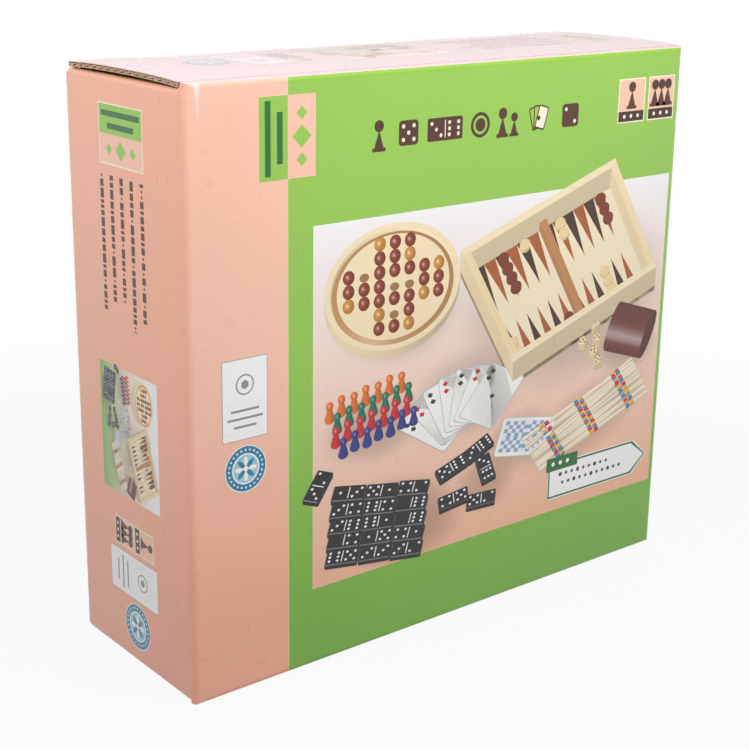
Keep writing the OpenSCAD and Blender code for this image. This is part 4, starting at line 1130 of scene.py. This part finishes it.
def pawnTroop():
    # four colours of small turned pawns in ranks
    body = inked("cone", "#FFFFFF", radius1=2.7, radius2=0.9, depth=8, vertices=16, at=(0, 0, 4))
    head = inked("uv_sphere", "#FFFFFF", radius=2.0, segments=12, ring_count=8, at=(0, 0, 8.8))
    pawn = joinUp([body, head], "pawn")
    smoothEdges(pawn, 60)
    parts = []
    for rank, colour in enumerate(("#E9762A", "#0F7A5B", "#D22B35", "#313C8C")):
        for place in range(7):
            twin = copyOf(pawn, (place * 6.6 + (rank % 2) * 2.4, -rank * 8.0 + (place % 2) * 1.2, 0))
            parts.append(paint(twin, colour))
    throwAway(pawn)
    return joinUp(parts, "pawnTroop")


def cardFan():
    # blank-cornered playing cards in a fan, one of them turned face down
    card = inked("plane", "#F7F6F2", span=(21, 30, 1))
    openEdit(card, "VERT")
    bpy.ops.mesh.select_all(action="SELECT")
    bpy.ops.mesh.bevel(affect="VERTICES", offset=1.8 * mm, segments=4)
    closeEdit()
    rim = copyOf(card, (0, 0, -0.05), size=1.03)
    paint(rim, "#B9BBC4")
    leaf = joinUp([card, rim], "card")
    diamond = inked("circle", "#C8303A", radius=1.5, vertices=4, fill_type="NGON")
    parts = []
    for k in range(7):
        lean = -42 + k * 14
        shift = Vector((0, 22, 0))
        turned = Matrix.Rotation(math.radians(-lean), 4, "Z")
        at = turned @ shift
        parts.append(copyOf(leaf, (at.x, at.y, 0.5 + 0.35 * k), -lean))
        for spot in ((-7.5, 11.5), (-7.5, 7.5), (0, 0)) if k == 6 else ((-7.5, 11.5), (-7.5, 7.5)):
            mark = turned @ (shift + Vector((spot[0], spot[1], 0)))
            twin = copyOf(diamond, (mark.x, mark.y, 0.62 + 0.35 * k), -lean)
            parts.append(paint(twin, "#C8303A" if k % 2 else "#2B2B30"))
    back = copyOf(leaf, (30, -12, 0.4), 68)
    parts.append(back)
    lattice = inked("grid", "#8FA3C4", span=(17, 26, 1), x_subdivisions=8, y_subdivisions=12)
    paint(lattice, "#E3E8F0", lambda f: (round(f.center.x / (2.1 * mm)) + round(f.center.y / (2.17 * mm))) % 2 == 0)
    parts.append(setDown(lattice, (30, -12, 0.55), 68))
    throwAway(leaf)
    throwAway(diamond)
    return joinUp(parts, "cardFan")


def stickBundle():
    # thin pointed sticks with painted rings
    rod = inked("cube", "#F7E9D0", span=(84, 1.7, 1.5), at=(0, 0, 0.8))
    bandColours = ("#D5303A", "#3793BE", "#F0B62C")
    dice = random.Random(21)
    parts = []
    for k in range(15):
        tilt = 27 + dice.uniform(-4.5, 4.5)
        across = (k - 7) * 1.9
        at = (-math.sin(math.radians(27)) * across, math.cos(math.radians(27)) * across, 0.3 * (k % 4))
        twin = copyOf(rod, at, tilt)
        tone = dice.uniform(0.93, 1.05)
        ink = twin.data.color_attributes["ink"]
        for entry in ink.data:
            entry.color = tuple(c * tone for c in entry.color[:3]) + (1,)
        parts.append(twin)
        for j, along in enumerate((-28, -24.5, -2.5, 1, 26, 29.5)):
            band = inked("cube", bandColours[(j + k) % 3], span=(3.0, 1.9, 1.7), at=(along, 0, 0.8))
            parts.append(setDown(band, at, tilt))
    throwAway(rod)
    return joinUp(parts, "stickBundle")


pipPlaces = {1: [(0, 0)], 2: [(-1, -1), (1, 1)], 3: [(-1, -1), (0, 0), (1, 1)], 4: [(-1, -1), (-1, 1), (1, -1), (1, 1)],
             5: [(-1, -1), (-1, 1), (0, 0), (1, -1), (1, 1)], 6: [(-1, -1), (-1, 0), (-1, 1), (1, -1), (1, 0), (1, 1)]}


def pipTile(first, second):
    block = inked("cube", "#1B1B20", span=(18, 9, 3.2), at=(0, 0, 1.6))
    openEdit(block, "EDGE")
    bpy.ops.mesh.select_all(action="SELECT")
    bpy.ops.mesh.bevel(offset=0.4 * mm, segments=1)
    closeEdit()
    paint(block, "#3A3B44", lambda f: 0.3 < abs(f.normal.z) < 0.95)
    parts = [block, inked("plane", "#E9E8EC", span=(0.6, 6.5, 1), at=(0, 0, 3.3))]
    pip = inked("circle", "#F1F0F2", radius=0.78, vertices=10, fill_type="NGON")
    for side, count in ((-1, first), (1, second)):
        for x, y in pipPlaces.get(count, []):
            parts.append(copyOf(pip, (side * 4.6 + x * 2.3, y * 2.3, 3.3)))
    throwAway(pip)
    return joinUp(parts, "tile")


def tileChain():
    # black tiles with white pips: a block of ranks and a short bent chain
    dice = random.Random(8)
    parts = []
    for row in range(5):
        for column in range(3):
            tile = pipTile(dice.randint(0, 6), dice.randint(1, 6))
            parts.append(setDown(tile, (column * 18.6 + row * 1.2, -row * 9.5 + dice.uniform(-0.4, 0.4), 0), dice.uniform(-2.5, 2.5)))
    for x, y, turn in ((58, 10, 35), (72, 21, 42), (80, 8, -62), (64, -10, 20), (82, -12, 8), (-18, 6, 75)):
        parts.append(setDown(pipTile(dice.randint(1, 6), dice.randint(1, 6)), (x, y, 0), turn))
    return joinUp(parts, "tileChain")


def leatherCup():
    # oval brown cup on its side, with small wooden dice before it
    cup = inked("cylinder", "#6B3326", radius=1, depth=26, vertices=32, turn=(0, 90, 0))
    cup.data.transform(Matrix.Diagonal((1, 13, 9, 1)))
    cup.data.transform(Matrix.Translation((0, 0, 9 * mm)))
    openEdit(cup, "FACE")
    pick(cup, "faces", lambda f: f.normal.x < -0.9)
    bpy.ops.mesh.inset(thickness=1.4 * mm)
    bpy.ops.transform.translate(value=(6 * mm, 0, 0))
    closeEdit()
    smoothEdges(cup, 40)
    paint(cup, "#2B120D", lambda f: f.normal.x < -0.9 and f.center.x > -12 * mm)
    paint(cup, "#8C4A38", lambda f: abs(f.normal.x) > 0.9 and f.center.x < -12.5 * mm)
    parts = [cup]
    for x, y, turn in ((-22, -4, 20), (-27, 3, 50), (-20, -12, -15), (-30, -8, 5), (-15, -17, 35)):
        die = inked("cube", "#EBD5AB", span=(5, 5, 5), at=(0, 0, 2.5))
        openEdit(die, "EDGE")
        bpy.ops.mesh.select_all(action="SELECT")
        bpy.ops.mesh.bevel(offset=0.5 * mm, segments=2)
        closeEdit()
        marks = [die]
        for px, py in pipPlaces[1 + (x + y) % 6]:
            marks.append(inked("circle", "#4A2D1C", radius=0.5, vertices=8, fill_type="NGON", at=(px * 1.4, py * 1.4, 5.08)))
        parts.append(setDown(joinUp(marks, "die"), (x, y, 0), turn))
    return joinUp(parts, "leatherCup")


def shadeInk(piece, dark=0.6, gloss=0.0):
    # picture light from the upper left, written into the ink
    way = Vector((-0.5, -0.45, 0.85)).normalized()
    down = math.radians(pictureSettings["lookDown"])
    shine = (way + Vector((0, -math.cos(down), math.sin(down)))).normalized()
    ink = piece.data.color_attributes["ink"]
    for corner, normal in enumerate(piece.data.corner_normals):
        n = Vector(normal.vector)
        lit = min(1.1, dark + (1 - dark) * max(0.0, n.dot(way)) / way.z)
        glint = gloss * max(0.0, n.dot(shine)) ** 40
        c = ink.data[corner].color
        ink.data[corner].color = tuple(min(1.0, v * lit + glint) for v in c[:3]) + (1,)
    return piece


def photographed(piece):
    # looks down on the motif and flattens it to the thickness of the ink
    s = pictureSettings
    down = math.radians(s["lookDown"])
    view = Vector((0, -math.cos(down), math.sin(down)))
    shape = bmesh.new()
    shape.from_mesh(piece.data)
    bmesh.ops.delete(shape, geom=[f for f in shape.faces if f.normal.dot(view) < 0.01], context="FACES")
    shape.to_mesh(piece.data)
    shape.free()
    k = s["squash"]
    piece.data.transform(Matrix(((1, 0, 0, 0), (0, math.sin(down), math.cos(down), 0),
                                 (0, -k * math.cos(down), k * math.sin(down), (s["paper"] + 0.17) * mm), (0, 0, 0, 1))))
    return piece


pictureMotifs = [
    # motif, place on the table (right, away, up), turn, size, gloss
    (boxTray, (166, 176, 0), 24, 1.15, 0.1),
    (marbleBoard, (49, 192, 0), 0, 1.12, 0.5),
    (pawnTroop, (10, 116, 0), 12, 1.15, 0.45),
    (cardFan, (100, 76, 0), 8, 1.35, 0.0),
    (stickBundle, (190, 68, 0), 0, 1.12, 0.0),
    (tileChain, (22, 58, 0), -12, 1.15, 0.25),
    (leatherCup, (222, 118, 0), -24, 1.25, 0.3),
]
shadowPools = [
    # right, up on the picture, half width, half height, turn, depth
    (168, 124, 86, 58, 0, 0.4), (52, 138, 47, 35, 0, 0.4), (38, 76, 36, 20, 0, 0.36), (100, 82, 42, 28, 0, 0.3), (140, 48, 30, 20, 0, 0.3),
    (192, 50, 54, 24, 20, 0.3), (56, 22, 48, 28, -10, 0.42), (114, 30, 24, 18, 0, 0.32), (220, 86, 28, 17, 0, 0.38),
]


def pictureGround(width, height, cells, groundColour):
    # the pictured table top: near-white above, its ground colour below, with soft shadows
    s = pictureSettings
    sheet = addShape("grid", "pictureGround", span=(width * mm, height * mm, 1), at=(width / 2 * mm, height / 2 * mm, s["paper"] * mm),
                     x_subdivisions=cells, y_subdivisions=round(cells * height / width))
    sky, middle, ground = (toLinear(k) for k in (s["skyColour"], s["middleColour"], groundColour))
    size = width / s["width"]
    shades = []
    for v in sheet.data.vertices:
        x, y = v.co.x / mm / size, v.co.y / mm / size
        share = min(1.0, max(0.0, y / s["height"]))
        low, high, part = (ground, middle, share / 0.62) if share < 0.62 else (middle, sky, (share - 0.62) / 0.38)
        shade = 1.0
        for cx, cy, rx, ry, turn, depth in shadowPools:
            a = math.radians(turn)
            dx, dy = x - cx, y - cy
            u, w = (dx * math.cos(a) + dy * math.sin(a)) / rx, (dy * math.cos(a) - dx * math.sin(a)) / ry
            d = max(0.0, 1 - (u * u + w * w))
            shade *= 1 - depth * d * d * (3 - 2 * d)
        shades.append(tuple((p + (q - p) * part) * shade for p, q in zip(low[:3], high[:3])) + (1,))
    ink = sheet.data.color_attributes.new(name="ink", type="FLOAT_COLOR", domain="CORNER")
    for corner, loop in enumerate(sheet.data.loops):
        ink.data[corner].color = shades[loop.vertex_index]
    return sheet


def onFront(piece, left, top):
    # from the print's own plane (right, up, towards the reader) to the front panel
    piece.data.transform(Matrix(((1, 0, 0, left * mm - 160 * mm), (0, 0, -1, -53.75 * mm), (0, 1, 0, 294 * mm - top * mm), (0, 0, 0, 1))))
    return piece


def printMotifs():
    motifs = []
    for make, at, turn, size, gloss in pictureMotifs:
        motif = setDown(make(), at, turn, size)
        motifs.append(photographed(shadeInk(motif, gloss=gloss)))
    return joinUp(motifs, "pictureMotifs")


def finishPrint(piece, name, body):
    piece.name = name
    dress(piece, printInk)
    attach(piece, body)
    return piece


motifSheet = printMotifs()
print("picture motifs printed:", len(motifSheet.data.polygons), "faces")

# Flat signs: drawn in millimetres on the print's own plane, each layer a little above the last

printInks = {
    "brown": "#4E2A1E",
    "darkBar": "#3B1F17",
    "cream": "#F8EBD3",
    "tile": "#F0C3A6",
    "deepGreen": "#1F6B2C",
    "white": "#F6F5F6",
    "grey": "#8C8F96",
    "teal": "#2A7FA6",
    "paleTeal": "#9CCEDB",
    "green": printColours["green"][0],
    "peach": printColours["peach"][0],
}
layerStep = 0.016          # mm


def panel(ink, left, top, width, height, layer=1, corner=0.0):
    # rectangle given by its upper left corner, as a print is measured
    piece = inked("plane", printInks.get(ink, ink), span=(width, height, 1), at=(left + width / 2, -top - height / 2, layer * layerStep))
    if corner:
        openEdit(piece, "VERT")
        bpy.ops.mesh.select_all(action="SELECT")
        bpy.ops.mesh.bevel(affect="VERTICES", offset=corner * mm, segments=5)
        closeEdit()
    return piece


def disc(ink, x, y, radius, layer=1, corners=40, turn=0.0):
    return inked("circle", printInks.get(ink, ink), radius=radius, vertices=corners, fill_type="NGON", at=(x, -y, layer * layerStep), turn=(0, 0, turn))


def framed(ink, edge, left, top, width, height, rim, layer=1, corner=0.0):
    return [panel(edge, left, top, width, height, layer, corner),
            panel(ink, left + rim, top + rim, width - 2 * rim, height - 2 * rim, layer + 1, max(0.0, corner - rim))]


def pawnSign(ink, x, foot, height, layer=2):
    # plain gaming pawn seen from the side
    w = height * 0.24
    skirt = disc(ink, 0, 0, 1, layer, corners=3, turn=0)
    skirt.data.transform(Matrix.Translation((0, 0, 0)) @ Matrix.Diagonal((w * 1.05, height * 0.44, 1, 1)))
    setDown(skirt, (x, -(foot - height * 0.24), 0))
    return [skirt, disc(ink, x, foot - height * 0.80, height * 0.19, layer + 1, corners=24),
            panel(ink, x - w * 1.1, foot - height * 0.12, 2.2 * w, height * 0.12, layer + 1)]


def dieSign(ink, spots, x, y, size, count, layer=2):
    parts = [panel(ink, x - size / 2, y - size / 2, size, size, layer, size * 0.16)]
    return parts + [disc(spots, x + px * size * 0.27, y + py * size * 0.27, size * 0.085, layer + 1, 16) for px, py in pipPlaces[count]]


def tileSign(ink, spots, x, y, width, first, second, layer=2):
    parts = [panel(ink, x - width / 2, y - width / 4, width, width / 2, layer, width * 0.05), panel(spots, x - width * 0.012, y - width * 0.19, width * 0.024, width * 0.38, layer + 1)]
    for side, count in ((-1, first), (1, second)):
        parts += [disc(spots, x + side * width / 4 + px * width * 0.13, y + py * width * 0.13, width * 0.042, layer + 1, 12) for px, py in pipPlaces[count]]
    return parts


def titleStrip(left, top, width, height):
    # where the printed title stands: one row of plain game signs of the same height
    mid, foot = top + height / 2, top + height
    parts = pawnSign("brown", left + 6, foot, height)
    parts += dieSign("brown", "cream", left + 24, mid, height * 0.8, 5)
    parts += tileSign("brown", "cream", left + 47, mid, height * 1.5, 3, 6)
    parts.append(disc("brown", left + 70, mid, height * 0.42, 2))
    parts.append(disc("green", left + 70, mid, height * 0.31, 3))
    parts.append(disc("brown", left + 70, mid, height * 0.22, 4))
    parts += pawnSign("brown", left + 85, foot, height)
    parts += pawnSign("brown", left + 93, foot, height * 0.8)
    for k, turn in enumerate((-16, 0, 16)):
        card = panel("brown", -3.6, -height * 0.92, 7.2, height * 0.8, 2 + 2 * k, 1.0)
        face = panel("green" if k < 2 else "cream", -2.9, -height * 0.87, 5.8, height * 0.70, 3 + 2 * k, 0.7)
        for leaf in (card, face):
            parts.append(setDown(leaf, (left + 110, -foot + 0.5, 0), -turn))
    parts.append(disc("brown", left + 110, foot - height * 0.52, 1.5, 9, 4))
    parts += dieSign("brown", "cream", left + width - 8, mid, height * 0.8, 2)
    return parts


def signTile(left, top, width, height, pawns):
    # peach tile with pawns above a dark bar with pips
    bar = height * 0.26
    parts = framed("tile", "cream", left, top, width, height, 0.7)
    for k in range(pawns):
        parts += pawnSign("brown", left + width * (k + 1) / (pawns + 1), top + height - bar - 1.2, height * 0.62, 3)
    parts.append(panel("darkBar", left + 0.7, top + height - bar, width - 1.4, bar - 0.7, 3))
    for k in range(3):
        parts.append(disc("cream", left + width * (k + 1) / 4, top + height - bar / 2 - 0.4, bar * 0.17, 5, 16))
    return parts


def blankLabel(left, top, width, height):
    # white certificate label, its sign and wording left out
    parts = framed("white", "grey", left, top, width, height, 0.3, 1, 0.8)
    for k, share in enumerate((0.62, 0.78, 0.5)):
        wide = width * share
        parts.append(panel("grey", left + (width - wide) / 2, top + height * (0.62 + 0.1 * k), wide, height * 0.028, 3))
    parts.append(disc("grey", left + width / 2, top + height * 0.32, width * 0.2, 3))
    parts.append(disc("white", left + width / 2, top + height * 0.32, width * 0.17, 4))
    parts.append(disc("grey", left + width / 2, top + height * 0.32, width * 0.09, 5, 6))
    return parts


def roundSeal(x, y, radius):
    # teal seal with a rosette of eight leaves
    parts = [disc("white", x, y, radius, 1, 56), disc("teal", x, y, radius * 0.96, 2, 56), disc("white", x, y, radius * 0.66, 3, 48), disc("paleTeal", x, y, radius * 0.60, 4, 48)]
    for k in range(24):
        a = math.radians(15 * k)
        parts.append(disc("white", x + math.cos(a) * radius * 0.81, y + math.sin(a) * radius * 0.81, radius * 0.045, 3, 10))
    for k in range(8):
        leaf = disc("teal" if k % 2 else "white", 0, 0, 1, 5, 20)
        leaf.data.transform(Matrix.Translation((radius * 0.29 * mm, 0, 0)) @ Matrix.Diagonal((radius * 0.24, radius * 0.10, 1, 1)))
        parts.append(setDown(leaf, (x, -y, 0), 45 * k))
    parts.append(disc("white", x, y, radius * 0.12, 6, 20))
    return parts


def arrowBadge(left, top, width, height):
    # white ribbon with a green border, a tab at its upper left and an arrow end
    parts = []
    for ink, grow, layer in (("white", 1.0, 13), ("deepGreen", 0.4, 13.4), ("white", -0.7, 13.8)):
        body = panel(ink, left - grow, top + 3 - grow, width - height / 2 + 2 * grow, height - 3 + 2 * grow, layer)
        openEdit(body, "VERT")
        pick(body, "verts", lambda v: v.co.x > (left + 10) * mm)
        bpy.ops.mesh.extrude_region_move(TRANSFORM_OT_translate={"value": (height / 2 * mm, 0, 0)})
        bpy.ops.transform.resize(value=(1, 0.02, 1))
        closeEdit()
        paint(body, printInks[ink])
        parts.append(body)
    tab = panel("deepGreen", left - 2, top - 1.5, width * 0.31, height * 0.36, 14.2, 0.8)
    parts.append(tab)
    for k in range(3):
        parts.append(disc("white", left + 3 + k * 5.6, top + 2.3, 1.3, 14.6, 20))
    for row, count in ((0, 9), (1, 11)):
        for k in range(count):
            parts.append(disc("brown", left + 9 + k * 4.6 + row * 2, top + 9.4 + row * 5.2, 1.25, 14.2, 4 if (k + row) % 3 else 20))
    return parts


def markRows(ink, left, top, width, height, rows, seed):
    # rows of small bars and diamonds where lines of wording stand
    dice = random.Random(seed)
    parts = []
    pitch = height / rows
    for row in range(rows):
        x, end = left, left + width * dice.uniform(0.72, 1.0)
        while x < end:
            long = dice.choice((1.6, 2.4, 3.4, 4.6))
            if dice.random() < 0.2:
                parts.append(disc(ink, x + 0.9, top + pitch * (row + 0.5), 0.9, 2, 4))
                long = 1.8
            else:
                parts.append(panel(ink, x, top + pitch * (row + 0.5) - pitch * 0.17, min(long, end - x + 0.4), pitch * 0.34, 2, 0.25))
            x += long + 0.9
    return parts


def makerTile(left, top, width, height):
    # the maker's place: a bare two-tone tile, its mark left out
    half = width / 2
    parts = [panel("green", left, top, half, height, 1), panel("peach", left + half, top, half, height, 1)]
    for k, share in enumerate((0.9, 0.62)):
        parts.append(panel("deepGreen", left + half * (0.2 + 0.42 * k), top + height * (1 - share) / 2, half * 0.2, height * share, 2, 0.3))
    for shift, size in ((0.22, 0.10), (0.5, 0.17), (0.78, 0.10)):
        parts.append(disc("green", left + width * 0.75, top + height * shift, width * size, 2, 4))
    return parts


def sideways(parts, right, top):
    # a printed group turned a quarter to the right, its upper right corner put at right, top
    return setDown(joinUp(parts, "print"), (right, -top, 0), -90)


sideSettings = {
    "picture": (65.0, 53.0),    # mm, before the quarter turn
    "pictureGround": "#7DB95C",
    "motifShift": (2.0, 0.5),
    # share by which the lid's print is paled with painted reflection
    "lidGlareShare": 0.5,
}


def printSide():
    # the narrow print shared by the left panel and the lid
    s = sideSettings
    wide, high = s["picture"]
    parts = [sideways([panel("cream", -0.7, -0.7, 28.4, 39.4, 0.6)] + makerTile(0, 0, 27, 38), 72, 17.5)]
    parts.append(sideways(markRows("brown", 0, 0, 82, 45, 5, 4), 75, 50))
    ground = pictureGround(wide, high, 44, s["pictureGround"])
    parts.append(setDown(ground, (26, -142, 0), -90))
    size = wide / pictureSettings["width"]
    parts.append(copyOf(motifSheet, (26 + s["motifShift"][0], -142 - s["motifShift"][1], 0.04), -90, size))
    parts.append(sideways(signTile(0, 0, 14.5, 18, 3), 53.3, 220))
    parts.append(sideways(signTile(0, 0, 14.5, 18, 1), 72, 220))
    parts.append(sideways(blankLabel(0, 0, 23, 45), 75, 237))
    parts += roundSeal(54.5, 274, 12)
    return joinUp(parts, "sidePrint")


def onSide(piece):
    piece.data.transform(Matrix(((0, 0, -1, -159.75 * mm), (-1, 0, 0, 54 * mm), (0, 1, 0, 294 * mm), (0, 0, 0, 1))))
    return piece


def onLid(piece):
    # the print's top lies towards the right end; it follows the lid's bow facet by facet
    piece.data.transform(Matrix(((0, 1, 0, 160 * mm), (-1, 0, 0, 54 * mm), (0, 0, 0.3, 0.02 * mm), (0, 0, 0, 1))))
    s = lidSettings
    rows = 24
    openEdit(piece, "FACE")
    for row in range(1, rows):
        bpy.ops.mesh.select_all(action="SELECT")
        bpy.ops.mesh.bisect(plane_co=(0, s["front"] + (s["back"] - s["front"]) * row / rows, 0), plane_no=(0, 1, 0))
    closeEdit()
    bpy.context.view_layer.update()
    for v in piece.data.vertices:
        found, place, normal, face = lid.ray_cast((v.co.x, v.co.y, 1), (0, 0, -1))
        v.co.z += place.z
    # painted reflection: the print on the lid is paled towards the lid's glare-whitened colour
    glaredLidColour = toLinear(printColours["lid"])
    share = sideSettings["lidGlareShare"]
    for entry in piece.data.color_attributes["ink"].data:
        entry.color = tuple(c + (f - c) * share for c, f in zip(entry.color[:3], glaredLidColour[:3])) + (1,)
    return piece


s = pictureSettings
frontGround = onFront(pictureGround(s["width"], s["height"], 110, s["groundColour"]), s["left"], s["top"] + s["height"])
finishPrint(frontGround, "frontPictureGround", "carton")
frontMotifs = onFront(copyOf(motifSheet), s["left"], s["top"] + s["height"])
finishPrint(frontMotifs, "frontPictureMotifs", "carton")

frontSigns = titleStrip(100, 25, 141, 15)
frontSigns += signTile(269, 16.5, 21, 23.5, 1) + signTile(292.5, 16.5, 21, 23.5, 3)
frontSigns += blankLabel(17, 127, 25, 39) + roundSeal(29.5, 180.5, 11.5)
frontSigns += arrowBadge(230, 223, 78, 22)
frontSigns += makerTile(38.3, 10, 31, 37.5)
finishPrint(onFront(joinUp(frontSigns, "print"), 0, 0), "frontSigns", "carton")

sideSheet = printSide()
finishPrint(onLid(copyOf(sideSheet)), "lidPrint", "lid")
finishPrint(onSide(sideSheet), "leftPrint", "carton")
throwAway(motifSheet)
print("prints ready")
